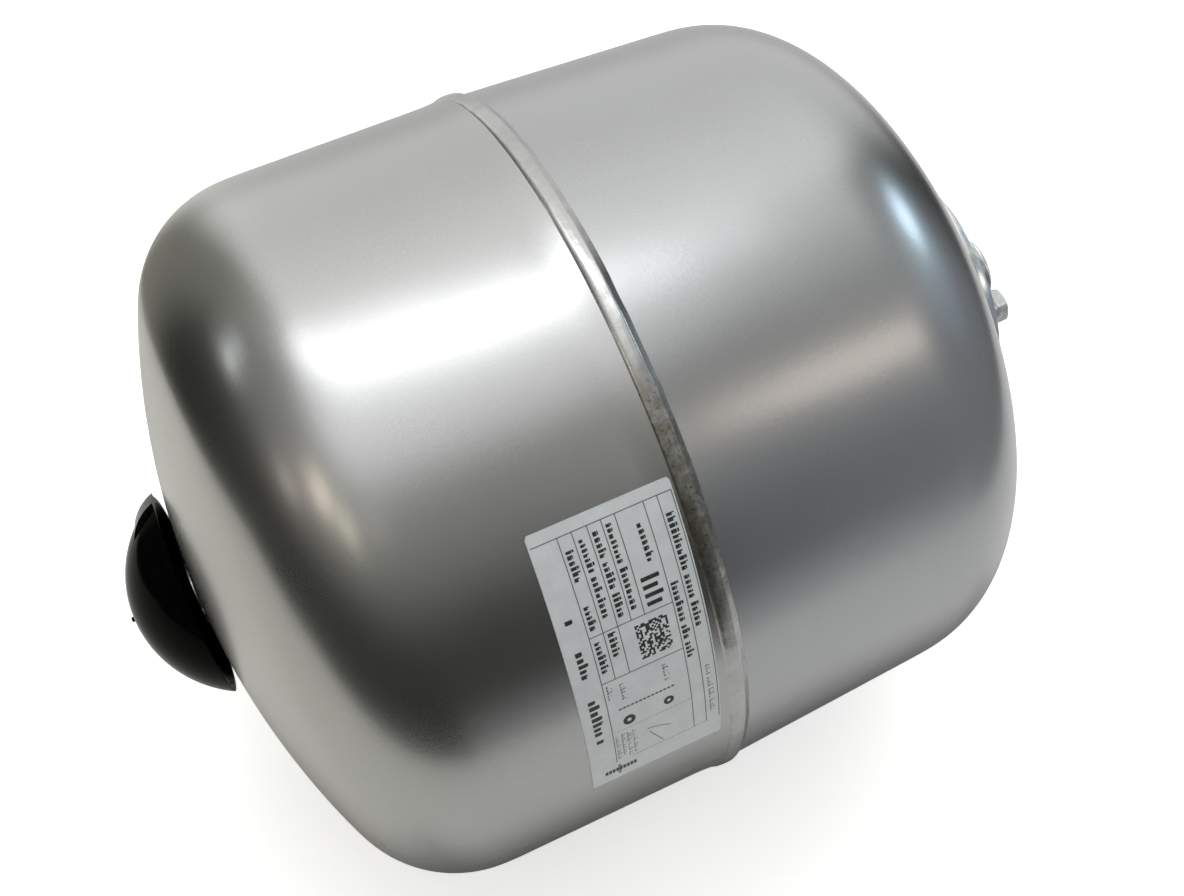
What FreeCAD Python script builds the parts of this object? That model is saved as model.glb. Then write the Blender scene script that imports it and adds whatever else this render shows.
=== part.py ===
import FreeCAD, Part
import math
import os

import Sketcher

# An 8 litre expansion vessel lying on its side. Millimetres, +Z up.
#
# +X runs along the vessel's axis and out of the water connection. The origin is the
# centre of the connection's sealing end, so the whole vessel lies at negative X.
# The air end, with its valve and its push-on cover, points along -X.
#
# Parts of revolution are sketched in their own local frame: x along the axis, y the
# radius. Three stations place them: the seam plane, the crown of the air end, turned
# round so that local x points out of the vessel, and the crown of the water end.

DIMENSIONS = {
    # pressed shells
    "seam_radius": 112.0,
    "wall": 1.2,
    "air_length": 120.8,
    "air_end_radius": 111.35,
    "air_knuckle": 39.8,
    "air_crown_depth": 14.4,
    "water_length": 128.5,
    "water_end_radius": 109.3,
    "water_knuckle": 37.7,
    "water_crown_depth": 15.7,
    # lap joint at the seam
    "rim_overlap": 3.3,
    "bell_length": 3.5,
    "bell_run_out": 3.0,
    "bell_gap": 0.1,
    "bead_length": 6.2,
    "bead_crest": 2.0,
    "bead_crest_rise": 0.2,
    "bead_shoulder": 3.8,
    # water end: welded collar, bag lip, cover plate
    "opening_radius": 27.0,
    "collar_radius": 44.0,
    "collar_bore": 28.0,
    "collar_thickness": 5.0,
    "collar_sink": 1.8,
    "collar_weld_leg": 4.5,
    "collar_weld_heel": 2.0,
    "collar_weld_rise": 3.0,
    "lip_radius": 33.0,
    "lip_thickness": 2.0,
    "plate_radius": 45.0,
    "plate_thickness": 3.0,
    "bolt_circle": 38.0,
    "bolt_count": 4.0,
    "bolt_turn": 49.0,
    "bolt_radius": 3.0,
    "bolt_length": 12.0,
    "bolt_flats": 10.0,
    "bolt_head": 4.0,
    "bolt_washer_radius": 6.0,
    "bolt_washer_thickness": 1.6,
    "washer_clearance": 0.2,
    "plate_clearance": 0.3,
    # G 3/4 male connection
    "thread_radius": 13.22,
    "thread_length": 15.0,
    "nipple_stand": 29.5,
    "nipple_neck_radius": 12.0,
    "nipple_bore": 9.5,
    "nipple_chamfer": 1.4,
    "nipple_weld_leg": 3.0,
    "nipple_weld_bulge": 2.0,
    # rubber bag
    "bag_wall": 1.8,
    "bag_neck_radius": 26.0,
    "bag_radius": 98.0,
    "bag_length": 192.0,
    "bag_shoulder": 40.0,
    "bag_setback": 12.0,
    # air valve
    "valve_hole": 5.2,
    "shank_radius": 5.0,
    "valve_foot_radius": 9.0,
    "valve_foot_thickness": 2.0,
    "gasket_thickness": 2.0,
    "gasket_gap": 0.2,
    "washer_radius": 8.4,
    "washer_thickness": 1.2,
    "nut_flats": 15.0,
    "nut_thickness": 5.0,
    "shank_stand": 7.6,
    "shank_chamfer": 0.6,
    "spout_radius": 3.85,
    "spout_stand": 15.5,
    "spout_groove": 0.4,
    "spout_run_out": 2.4,
    "spout_lead_in": 1.2,
    "spout_chamfer": 0.4,
    "core_seat_depth": 0.8,
    "core_radius": 2.4,
    "core_length": 10.0,
    "core_recess": 0.6,
    "core_wall": 0.75,
    "core_floor": 1.2,
    "core_roof": 3.0,
    "core_chamfer": 0.3,
    "core_groove_start": 2.4,
    "core_groove_width": 1.2,
    "core_groove_depth": 0.5,
    "air_passage": 1.7,
    "pin_radius": 0.8,
    "pin_collar_radius": 1.5,
    "pin_collar_thickness": 0.8,
    "pin_stand": 0.5,
    "pin_tail": 0.45,
    "pin_cup_radius": 1.55,
    "pin_cup_thickness": 0.9,
    "spring_wire": 0.16,
    "spring_radius": 1.2,
    "spring_turns": 6.0,
    # dust cap on the valve
    "cap_radius": 5.2,
    "cap_length": 8.9,
    "cap_top": 1.2,
    "cap_chamfer": 0.8,
    "cap_seal_thickness": 0.8,
    "knurl_count": 18.0,
    "knurl_depth": 0.35,
    # push-on valve cover
    "cover_gap": 1.1,
    "cover_radius": 32.0,
    "cover_height": 18.7,
    "cover_wall": 1.6,
    "cover_hub_wall": 1.7,
    "cover_hub_gap": 0.4,
    "cover_gate_radius": 0.9,
    "cover_gate_tip": 0.7,
    "cover_gate_height": 1.0,
    "lift_tab_width": 14.0,
    "lift_tab_proud": 0.5,
    "lift_tab_turn": 45.0,
    "lift_tab_height": 9.4,
    "lift_tab_round": 14.7,
    "lift_tab_root": 1.2,
    # paper rating label
    "label_width": 38.3,
    "label_offset": 0.7,
    "label_thickness": 0.15,
    "label_start": 127.0,
    "label_sweep": 44.0,
    # clearance between a moving piece and what guides it, and between stacked faces
    "running_gap": 0.05,
    "face_gap": 0.02,
}

doc = FreeCAD.newDocument("expansion_vessel")


# ---------------------------------------------------------------- driving dimensions

def make_sheet():
    """Write every driving dimension into one spreadsheet, a plain number per cell."""
    sheet = doc.addObject("Spreadsheet::Sheet", "Sheet")
    for row, (name, value) in enumerate(DIMENSIONS.items(), start=1):
        sheet.set("A%d" % row, name)
        sheet.set("B%d" % row, str(value))
        sheet.setAlias("B%d" % row, name)
    doc.recompute()
    return sheet


class Size:
    """A length that knows its value now and the formula it has in the document."""

    def __init__(self, value, formula):
        self.value = value
        self.formula = formula

    @staticmethod
    def of(other):
        return other if isinstance(other, Size) else Size(float(other), "%g" % other)

    def combine(self, other, sign, value):
        return Size(value, "(%s %s %s)" % (self.formula, sign, other.formula))

    def __add__(self, other):
        other = Size.of(other)
        return self.combine(other, "+", self.value + other.value)

    def __sub__(self, other):
        other = Size.of(other)
        return self.combine(other, "-", self.value - other.value)

    def __mul__(self, other):
        other = Size.of(other)
        return self.combine(other, "*", self.value * other.value)

    def __truediv__(self, other):
        other = Size.of(other)
        return self.combine(other, "/", self.value / other.value)

    def __neg__(self):
        return Size(0.0, "0") - self

    def __radd__(self, other):
        return Size.of(other) + self

    def __rsub__(self, other):
        return Size.of(other) - self

    def __rmul__(self, other):
        return Size.of(other) * self


def root(size):
    return Size(math.sqrt(size.value), "sqrt(%s)" % size.formula)


sheet = make_sheet()


class Dimensions:
    """Reads a cell of the sheet by its alias, as a Size."""

    def __getattr__(self, name):
        return Size(float(sheet.get(name)), "Sheet.%s" % name)


d = Dimensions()
ZERO = Size(0.0, "0")


# ---------------------------------------------------------------- sketching helpers

def make_body(label, station=ZERO, about="X", degrees=ZERO):
    """An empty body at a station on the axis, turned about its local X or Z."""
    body = doc.addObject("PartDesign::Body", label)
    body.Label = label
    axis = FreeCAD.Vector(1, 0, 0) if about == "X" else FreeCAD.Vector(0, 0, 1)
    turn = FreeCAD.Rotation(axis, degrees.value)
    body.Placement = FreeCAD.Placement(FreeCAD.Vector(station.value, 0, 0), turn)
    body.setExpression("Placement.Base.x", station.formula)
    if degrees.value:
        body.setExpression("Placement.Rotation.Angle", degrees.formula)
    return body


def seam_body(label):
    return make_body(label, -(d.water_length + d.nipple_stand))


def air_body(label):
    """A body whose local x starts at the air end's crown and points out, along -X."""
    station = -(d.water_length + d.nipple_stand + d.air_length)
    return make_body(label, station, "Z", Size(180.0, "180"))


def water_body(label, degrees=ZERO):
    """A body whose local x starts at the water end's crown and points out, along +X."""
    return make_body(label, -d.nipple_stand, "X", degrees)


def make_sketch(body, role):
    plane = [item for item in body.Origin.OriginFeatures if item.Role == role][0]
    sketch = body.newObject("Sketcher::SketchObject", body.Name + "_sketch")
    sketch.AttachmentSupport = [(plane, "")]
    sketch.MapMode = "FlatFace"
    return sketch


def fix_point(sketch, edge, end, x, y):
    """Bind one end of an edge to its two coordinates."""
    for kind, size in (("DistanceX", x), ("DistanceY", y)):
        index = sketch.addConstraint(Sketcher.Constraint(kind, -1, 1, edge, end, size.value))
        sketch.setExpression("Constraints[%d]" % index, size.formula)


def fix_radius(sketch, edge, size):
    index = sketch.addConstraint(Sketcher.Constraint("Radius", edge, size.value))
    sketch.setExpression("Constraints[%d]" % index, size.formula)


class Outline:
    """A closed outline of straight lines and arcs, drawn corner by corner."""

    def __init__(self, x, y):
        self.corners = [(Size.of(x), Size.of(y))]
        self.arcs = []
        self.closing = None

    def line(self, x, y):
        self.corners.append((Size.of(x), Size.of(y)))
        self.arcs.append(None)
        return self

    def arc(self, x, y, centre_x, centre_y, radius):
        self.corners.append((Size.of(x), Size.of(y)))
        self.arcs.append((Size.of(centre_x), Size.of(centre_y), Size.of(radius)))
        return self

    def close_arc(self, centre_x, centre_y, radius):
        """Close the outline with an arc from the last corner to the first."""
        self.closing = (Size.of(centre_x), Size.of(centre_y), Size.of(radius))
        return self

    def draw(self, sketch):
        """Add the edges, join them, and bind every corner and radius to the sheet."""
        self.arcs.append(self.closing)
        first = sketch.GeometryCount
        ends = []
        for number, (start, arc) in enumerate(zip(self.corners, self.arcs)):
            stop = self.corners[(number + 1) % len(self.corners)]
            a = FreeCAD.Vector(start[0].value, start[1].value, 0)
            b = FreeCAD.Vector(stop[0].value, stop[1].value, 0)
            if arc is None:
                sketch.addGeometry(Part.LineSegment(a, b))
                ends.append((1, 2))
                continue
            centre = FreeCAD.Vector(arc[0].value, arc[1].value, 0)
            forward = (a - centre).cross(b - centre).z > 0
            low, high = (a, b) if forward else (b, a)
            angles = [math.atan2(p.y - centre.y, p.x - centre.x) for p in (low, high)]
            circle = Part.Circle(centre, FreeCAD.Vector(0, 0, 1), arc[2].value)
            sketch.addGeometry(Part.ArcOfCircle(circle, angles[0], angles[1]))
            ends.append((1, 2) if forward else (2, 1))
        for number, (start, arc) in enumerate(zip(self.corners, self.arcs)):
            following = (number + 1) % len(self.corners)
            here, there = first + number, first + following
            joint = Sketcher.Constraint("Coincident", here, ends[number][1], there, ends[following][0])
            sketch.addConstraint(joint)
            fix_point(sketch, here, ends[number][0], start[0], start[1])
            if arc is not None:
                fix_radius(sketch, here, arc[2])


def box_outline(x_low, x_high, y_low, y_high):
    return Outline(x_low, y_low).line(x_high, y_low).line(x_high, y_high).line(x_low, y_high)


def revolve(body, *outlines, degrees=None):
    """Turn outlines in the local XY plane about the local X axis."""
    sketch = make_sketch(body, "XY_Plane")
    for outline in outlines:
        outline.draw(sketch)
    feature = body.newObject("PartDesign::Revolution", body.Name + "_turned")
    feature.Profile = sketch
    feature.ReferenceAxis = (sketch, ["H_Axis"])
    feature.Angle = 360.0
    if degrees is not None:
        feature.setExpression("Angle", degrees.formula)
    return feature


def draw_circle(sketch, x, y, radius):
    centre = FreeCAD.Vector(x.value, y.value, 0)
    circle = sketch.addGeometry(Part.Circle(centre, FreeCAD.Vector(0, 0, 1), radius.value))
    fix_point(sketch, circle, 3, x, y)
    fix_radius(sketch, circle, radius)


def hexagon(centre_x, flats):
    """A hexagon on one corner pair along sketch Y, centred on sketch X."""
    corner = flats / math.sqrt(3.0)
    half = flats / 2
    outline = Outline(centre_x + half, corner / 2)
    outline.line(centre_x, corner).line(centre_x - half, corner / 2)
    outline.line(centre_x - half, -corner / 2).line(centre_x, -corner)
    outline.line(centre_x + half, -corner / 2)
    return outline


def pad(body, length, start=ZERO, outline=None, circles=()):
    """Extrude a sketch in the local YZ plane along local X, from a start station."""
    sketch = make_sketch(body, "YZ_Plane")
    sketch.AttachmentOffset = FreeCAD.Placement(FreeCAD.Vector(0, 0, start.value), FreeCAD.Rotation())
    sketch.setExpression("AttachmentOffset.Base.z", start.formula)
    if outline is not None:
        outline.draw(sketch)
    for x, y, radius in circles:
        draw_circle(sketch, x, y, radius)
    feature = body.newObject("PartDesign::Pad", body.Name + "_pad")
    feature.Profile = sketch
    feature.Length = length.value
    feature.setExpression("Length", length.formula)
    return feature


def repeat_round_axis(body, features, count):
    """Repeat features about local X; the pattern becomes the body's tip."""
    axis = [item for item in body.Origin.OriginFeatures if item.Role == "X_Axis"][0]
    pattern = body.newObject("PartDesign::PolarPattern", body.Name + "_pattern")
    pattern.Originals = features
    pattern.Axis = (axis, [""])
    pattern.Angle = 360.0
    pattern.Occurrences = int(count.value)
    pattern.setExpression("Occurrences", count.formula)
    body.Tip = pattern
    return pattern


def drill(body, circles):
    """Cut circles in the local YZ plane right through, both ways."""
    sketch = make_sketch(body, "YZ_Plane")
    for x, y, radius in circles:
        draw_circle(sketch, x, y, radius)
    doc.recompute()
    before = body.Shape.Volume
    pocket = body.newObject("PartDesign::Pocket", body.Name + "_holes")
    pocket.Profile = sketch
    pocket.Type = 1
    pocket.Midplane = True
    doc.recompute()
    if body.Shape.Volume >= before:
        raise RuntimeError("%s: the holes cut nothing" % body.Label)
    return pocket


# ---------------------------------------------------------------- the two shells

class Dish:
    """The meridian of one pressed shell: a wall, a knuckle arc and a crown arc.

    Local x runs from the seam plane towards the crown. The crown arc is tangent to
    the knuckle, so its radius and the point where they meet follow from the rest.
    """

    def __init__(self, length, end_radius, knuckle, crown_depth):
        self.length = length
        self.end_radius = end_radius
        self.knuckle = knuckle
        self.knuckle_x = length - knuckle - crown_depth
        self.knuckle_y = end_radius - knuckle
        rise = knuckle + crown_depth
        reach = self.knuckle_y * self.knuckle_y + rise * rise - knuckle * knuckle
        self.crown = reach / (2 * crown_depth)
        self.crown_x = length - self.crown

    def wall_radius(self, distance):
        """Outer radius of the tapered wall at a distance from the seam plane."""
        taper = (d.seam_radius - self.end_radius) / self.knuckle_x
        return d.seam_radius - taper * distance

    def tangent(self, inset):
        """Where the crown meets the knuckle, on a surface set in by inset."""
        share = (self.crown - inset) / (self.crown - self.knuckle)
        x = self.crown_x + share * (self.knuckle_x - self.crown_x)
        return x, share * self.knuckle_y

    def height(self, radius, inset=ZERO):
        """Station of the crown surface at a radius from the axis."""
        sphere = self.crown - inset
        return self.crown_x + root(sphere * sphere - radius * radius)


def air_dish():
    return Dish(d.air_length, d.air_end_radius, d.air_knuckle, d.air_crown_depth)


def water_dish():
    return Dish(d.water_length, d.water_end_radius, d.water_knuckle, d.water_crown_depth)


def close_shell(outline, dish, hole):
    """Carry an outline from the outer wall round the crown and back inside."""
    outline.line(dish.knuckle_x, dish.end_radius)
    x, y = dish.tangent(ZERO)
    outline.arc(x, y, dish.knuckle_x, dish.knuckle_y, dish.knuckle)
    outline.arc(dish.height(hole), hole, dish.crown_x, ZERO, dish.crown)
    outline.line(dish.height(hole, d.wall), hole)
    x, y = dish.tangent(d.wall)
    outline.arc(x, y, dish.crown_x, ZERO, dish.crown - d.wall)
    outline.arc(dish.knuckle_x, dish.end_radius - d.wall, dish.knuckle_x, dish.knuckle_y,
                dish.knuckle - d.wall)
    return outline


def shell_air_side():
    """Deep-drawn steel shell of the air end, belled to lap over the other's rim."""
    body = seam_body("shell_air_side")
    body.Placement.Rotation = FreeCAD.Rotation(FreeCAD.Vector(0, 0, 1), 180)
    dish = air_dish()
    inner = d.seam_radius + d.bell_gap
    run_out = d.bell_length + d.bell_run_out
    outline = Outline(ZERO, inner).line(ZERO, inner + d.wall).line(d.bell_length, inner + d.wall)
    outline.line(run_out, dish.wall_radius(run_out))
    close_shell(outline, dish, d.valve_hole)
    outline.line(run_out, dish.wall_radius(run_out) - d.wall).line(d.bell_length, inner)
    revolve(body, outline)


def shell_water_side():
    """Deep-drawn steel shell of the water end; its straight rim slides into the bell."""
    body = seam_body("shell_water_side")
    outline = Outline(ZERO, d.seam_radius)
    close_shell(outline, water_dish(), d.opening_radius)
    outline.line(ZERO, d.seam_radius - d.wall)
    outline.line(-d.rim_overlap, d.seam_radius - d.wall)
    outline.line(-d.rim_overlap, d.seam_radius)
    revolve(body, outline)


def weld_bead():
    """Fillet weld that fills the corner between the bell's edge and the inner shell."""
    body = seam_body("weld_bead")
    dish = water_dish()
    start = d.face_gap
    top = d.seam_radius + d.bell_gap + d.wall
    outline = Outline(start, dish.wall_radius(start) + d.face_gap).line(start, top)
    outline.line(d.bead_crest, top + d.bead_crest_rise).line(d.bead_shoulder, top)
    outline.line(d.bead_length, dish.wall_radius(d.bead_length) + d.face_gap)
    revolve(body, outline)


# ---------------------------------------------------------------- water end

def collar_faces():
    """Stations of the collar's two faces, from the water end's crown."""
    low = -d.collar_sink
    return low, low + d.collar_thickness


def plate_faces():
    low = collar_faces()[1] + d.lip_thickness
    return low, low + d.plate_thickness


def bolt_spots(radius):
    return [(d.bolt_circle, ZERO, radius)]


def neck_collar():
    """Thick steel ring welded round the opening, tapped for the cover's bolts."""
    body = water_body("neck_collar", d.bolt_turn)
    low, high = collar_faces()
    revolve(body, box_outline(low, high, d.collar_bore, d.collar_radius))
    holes = drill(body, bolt_spots(d.bolt_radius + d.running_gap))
    repeat_round_axis(body, [holes], d.bolt_count)


def neck_weld():
    """Fillet weld between the collar's edge and the crown, filling the wedge below."""
    body = water_body("neck_weld")
    dish = water_dish()
    sphere = dish.crown + d.face_gap
    low = collar_faces()[0]
    side = d.collar_radius + d.face_gap
    toe = d.collar_radius + d.collar_weld_leg
    heel = d.collar_radius - d.collar_weld_heel

    def on_crown(radius):
        return dish.crown_x - d.water_length + root(sphere * sphere - radius * radius)

    outline = Outline(low - d.face_gap, heel)
    outline.line(low - d.face_gap, side)
    outline.line(low + d.collar_weld_rise, side)
    outline.line(on_crown(toe), toe)
    outline.arc(on_crown(heel), heel, dish.crown_x - d.water_length, ZERO, sphere)
    revolve(body, outline)


def bladder():
    """Rubber bag, with the lip that the cover plate clamps on the collar."""
    body = water_body("bladder")
    lip_low = collar_faces()[1]
    lip_high = plate_faces()[0]
    neck = d.bag_neck_radius
    shoulder_x = -d.bag_setback
    mouth = neck - d.bag_wall
    round_centre = d.bag_radius - d.bag_shoulder
    front = shoulder_x - d.bag_shoulder
    back = -d.bag_length + d.bag_shoulder
    inner = d.bag_shoulder - d.bag_wall
    outline = Outline(lip_high, mouth)
    outline.line(lip_high, d.lip_radius).line(lip_low, d.lip_radius).line(lip_low, neck)
    outline.line(shoulder_x, neck).line(shoulder_x, round_centre)
    outline.arc(front, d.bag_radius, front, round_centre, d.bag_shoulder)
    outline.line(back, d.bag_radius)
    outline.arc(-d.bag_length, round_centre, back, round_centre, d.bag_shoulder)
    outline.line(-d.bag_length, ZERO).line(-d.bag_length + d.bag_wall, ZERO)
    outline.line(-d.bag_length + d.bag_wall, round_centre)
    outline.arc(back, d.bag_radius - d.bag_wall, back, round_centre, inner)
    outline.line(front, d.bag_radius - d.bag_wall)
    outline.arc(shoulder_x - d.bag_wall, round_centre, front, round_centre, inner)
    outline.line(shoulder_x - d.bag_wall, mouth)
    revolve(body, outline)


def cover_plate():
    """Zinc-plated plate that closes the opening and carries the water connection."""
    body = water_body("cover_plate", d.bolt_turn)
    low, high = plate_faces()
    revolve(body, box_outline(low, high, d.thread_radius + d.running_gap, d.plate_radius))
    holes = drill(body, bolt_spots(d.bolt_radius + d.plate_clearance))
    repeat_round_axis(body, [holes], d.bolt_count)


def connection_nipple():
    """G 3/4 male nipple, at the thread's major diameter, with a plain neck below it."""
    body = water_body("connection_nipple")
    end = d.nipple_stand
    thread_start = end - d.nipple_chamfer - d.thread_length
    low, high = plate_faces()
    neck = d.nipple_neck_radius
    outline = Outline(low, d.nipple_bore)
    outline.line(end, d.nipple_bore).line(end, d.thread_radius - d.nipple_chamfer)
    outline.line(end - d.nipple_chamfer, d.thread_radius)
    outline.line(thread_start, d.thread_radius).line(thread_start, neck)
    outline.line(high, neck).line(high, d.thread_radius).line(low, d.thread_radius)
    revolve(body, outline)


def nipple_weld():
    """Small fillet weld round the nipple on the cover plate."""
    body = water_body("nipple_weld")
    foot = plate_faces()[1] + d.face_gap
    side = d.nipple_neck_radius + d.face_gap
    outline = Outline(foot, side).line(foot, side + d.nipple_weld_leg)
    outline.line(foot + d.nipple_weld_bulge, side + d.nipple_weld_bulge)
    outline.line(foot + d.nipple_weld_leg, side)
    revolve(body, outline)


def cover_washers():
    """One plain washer under each bolt head."""
    body = water_body("cover_washers", d.bolt_turn)
    start = plate_faces()[1]
    hole = d.bolt_radius + d.washer_clearance
    rings = [(d.bolt_circle, ZERO, d.bolt_washer_radius), (d.bolt_circle, ZERO, hole)]
    washer = pad(body, d.bolt_washer_thickness, start, circles=rings)
    repeat_round_axis(body, [washer], d.bolt_count)


def cover_bolts():
    """Hexagon bolts that clamp the cover plate to the collar."""
    body = water_body("cover_bolts", d.bolt_turn)
    seat = plate_faces()[1] + d.bolt_washer_thickness
    head = pad(body, d.bolt_head, seat, outline=hexagon(d.bolt_circle, d.bolt_flats))
    shank = pad(body, d.bolt_length, seat - d.bolt_length, circles=bolt_spots(d.bolt_radius))
    repeat_round_axis(body, [head, shank], d.bolt_count)


# ---------------------------------------------------------------- air valve

def valve_gasket():
    """Rubber gasket between the valve's foot and the inside of the crown."""
    body = air_body("valve_gasket")
    face = -d.wall - d.gasket_gap
    outline = box_outline(face - d.gasket_thickness, face, d.shank_radius + d.running_gap,
                          d.valve_foot_radius)
    revolve(body, outline)


def valve_stem():
    """Brass stem: foot inside the shell, shank through it, threaded spout outside."""
    body = air_body("valve_stem")
    foot_top = -d.wall - d.gasket_gap - d.gasket_thickness
    foot_low = foot_top - d.valve_foot_thickness
    mouth = d.spout_stand
    seat = mouth - d.core_recess - d.core_length
    bore = d.core_radius + d.running_gap
    outline = Outline(foot_low, d.air_passage)
    outline.line(foot_low, d.valve_foot_radius).line(foot_top, d.valve_foot_radius)
    outline.line(foot_top, d.shank_radius).line(d.shank_stand, d.shank_radius)
    outline.line(d.shank_stand + d.shank_chamfer, d.spout_radius)
    spout_threads(outline, d.shank_stand + d.spout_run_out, mouth - d.spout_lead_in)
    outline.line(mouth - d.spout_chamfer, d.spout_radius)
    outline.line(mouth, d.spout_radius - d.spout_chamfer)
    outline.line(mouth, bore).line(seat, bore).line(seat - d.core_seat_depth, d.air_passage)
    revolve(body, outline)


def spout_threads(outline, low, high):
    """Grooves round the spout that stand for its fine thread."""
    grooves = 5
    pitch = (high - low) / grooves
    flank = pitch / 4
    for number in range(grooves):
        start = low + pitch * number
        outline.line(start, d.spout_radius)
        outline.line(start + flank, d.spout_radius - d.spout_groove)
        outline.line(start + 2 * flank, d.spout_radius)


def valve_washer():
    body = air_body("valve_washer")
    revolve(body, box_outline(ZERO, d.washer_thickness, d.valve_hole, d.washer_radius))


def valve_nut():
    """Hexagon nut that draws the stem's foot against the inside of the shell."""
    body = air_body("valve_nut")
    pad(body, d.nut_thickness, d.washer_thickness, outline=hexagon(ZERO, d.nut_flats),
        circles=[(ZERO, ZERO, d.shank_radius + d.running_gap)])


def core_stations():
    """Stations of the valve core's barrel: inner end, chamber floor, roof, outer end."""
    outer = d.spout_stand - d.core_recess
    inner = outer - d.core_length
    return inner, inner + d.core_floor, outer - d.core_roof, outer


def valve_core_barrel():
    """Barrel of the valve core, with the chamber that holds the pin's spring."""
    body = air_body("valve_core_barrel")
    inner, floor, roof, outer = core_stations()
    guide = d.pin_radius + d.running_gap
    chamber = d.core_radius - d.core_wall
    groove_low = inner + d.core_groove_start
    groove_high = groove_low + d.core_groove_width
    groove = d.core_radius - d.core_groove_depth
    outline = Outline(inner, guide)
    outline.line(inner, d.core_radius - d.core_chamfer).line(inner + d.core_chamfer, d.core_radius)
    outline.line(groove_low, d.core_radius).line(groove_low, groove)
    outline.line(groove_high, groove).line(groove_high, d.core_radius)
    outline.line(outer, d.core_radius).line(outer, guide).line(roof, guide)
    outline.line(roof, chamber).line(floor, chamber).line(floor, guide)
    revolve(body, outline)


def valve_core_seal():
    """Sealing ring round the barrel, seated in its groove."""
    body = air_body("valve_core_seal")
    low = core_stations()[0] + d.core_groove_start + d.face_gap
    high = low + d.core_groove_width - 2 * d.face_gap
    foot = d.core_radius - d.core_groove_depth + d.face_gap
    revolve(body, box_outline(low, high, foot, d.core_radius + d.face_gap))


def pin_collar_station():
    """Outer face of the pin's collar, which the spring holds just under the roof."""
    return core_stations()[2] - d.running_gap


def valve_core_pin():
    """Pin that opens the valve when it is pushed in, with the collar the spring lifts."""
    body = air_body("valve_core_pin")
    inner, floor, roof, outer = core_stations()
    tip = outer + d.pin_stand
    tail = inner - d.face_gap - d.pin_cup_thickness - d.pin_tail
    collar_high = pin_collar_station()
    collar_low = collar_high - d.pin_collar_thickness
    outline = Outline(tail, ZERO)
    outline.line(tail, d.pin_radius).line(collar_low, d.pin_radius)
    outline.line(collar_low, d.pin_collar_radius).line(collar_high, d.pin_collar_radius)
    outline.line(collar_high, d.pin_radius).line(tip - d.core_chamfer, d.pin_radius)
    outline.line(tip, d.pin_radius - d.core_chamfer).line(tip, ZERO)
    revolve(body, outline)


def valve_core_cup():
    """Rubber cup on the pin's inner end, which closes the barrel."""
    body = air_body("valve_core_cup")
    high = core_stations()[0] - d.face_gap
    revolve(body, box_outline(high - d.pin_cup_thickness, high, d.pin_radius, d.pin_cup_radius))


def valve_core_spring():
    """Coil spring between the barrel's floor and the pin's collar."""
    body = air_body("valve_core_spring")
    low = core_stations()[1] + d.face_gap + d.spring_wire
    high = pin_collar_station() - d.pin_collar_thickness - d.face_gap - d.spring_wire
    sketch = make_sketch(body, "XY_Plane")
    draw_circle(sketch, low, d.spring_radius, d.spring_wire)
    doc.recompute()
    coil = body.newObject("PartDesign::AdditiveHelix", body.Name + "_coil")
    coil.Profile = sketch
    coil.ReferenceAxis = (sketch, ["H_Axis"])
    coil.Mode = "height-turns-angle"
    coil.Height = (high - low).value
    coil.Turns = d.spring_turns.value
    coil.setExpression("Height", (high - low).formula)
    coil.setExpression("Turns", d.spring_turns.formula)


# ---------------------------------------------------------------- dust cap and cover

def cap_stations():
    """Stations of the dust cap: its open end, the seal's two faces and its top."""
    seal_low = d.spout_stand + d.running_gap
    seal_high = seal_low + d.cap_seal_thickness
    top = seal_high + d.face_gap + d.cap_top
    return top - d.cap_length, seal_low, seal_high, top


def dust_cap():
    """Knurled screw cap over the valve's spout."""
    body = air_body("dust_cap")
    low, seal_low, seal_high, top = cap_stations()
    bore = d.spout_radius + d.running_gap
    outline = Outline(low, bore)
    outline.line(low, d.cap_radius).line(top - d.cap_chamfer, d.cap_radius)
    outline.line(top, d.cap_radius - d.cap_chamfer).line(top, ZERO)
    outline.line(seal_high + d.face_gap, ZERO).line(seal_high + d.face_gap, bore)
    revolve(body, outline)
    groove = drill(body, [(d.cap_radius + d.knurl_depth, ZERO, 2 * d.knurl_depth)])
    repeat_round_axis(body, [groove], d.knurl_count)


def dust_cap_seal():
    body = air_body("dust_cap_seal")
    low, seal_low, seal_high, top = cap_stations()
    revolve(body, box_outline(seal_low, seal_high, ZERO, d.spout_radius))


def valve_cover():
    """Push-on dome over the air valve. Its hub grips the nut's six corners."""
    body = air_body("valve_cover")
    rim = d.cover_gap
    apex = rim + d.cover_height
    sphere = (d.cover_radius * d.cover_radius + d.cover_height * d.cover_height) / (2 * d.cover_height)
    centre = apex - sphere
    hub_inner = d.nut_flats / math.sqrt(3.0) + d.running_gap
    hub_outer = hub_inner + d.cover_hub_wall
    inner = sphere - d.cover_wall

    def inside(radius):
        return centre + root(inner * inner - radius * radius)

    rim_inner = root(inner * inner - (rim - centre) * (rim - centre))
    gate = d.cover_gate_radius
    gate_foot = centre + root(sphere * sphere - gate * gate)
    outline = Outline(rim, rim_inner).line(rim, d.cover_radius)
    outline.arc(gate_foot, gate, centre, ZERO, sphere)
    outline.line(apex + d.cover_gate_height, d.cover_gate_tip)
    outline.line(apex + d.cover_gate_height, ZERO)
    outline.line(centre + inner, ZERO)
    outline.arc(inside(hub_inner), hub_inner, centre, ZERO, inner)
    outline.line(d.cover_hub_gap, hub_inner).line(d.cover_hub_gap, hub_outer)
    outline.line(inside(hub_outer), hub_outer)
    outline.close_arc(centre, ZERO, inner)
    revolve(body, outline)
    lift_tab(body, rim, centre, sphere)


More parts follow.
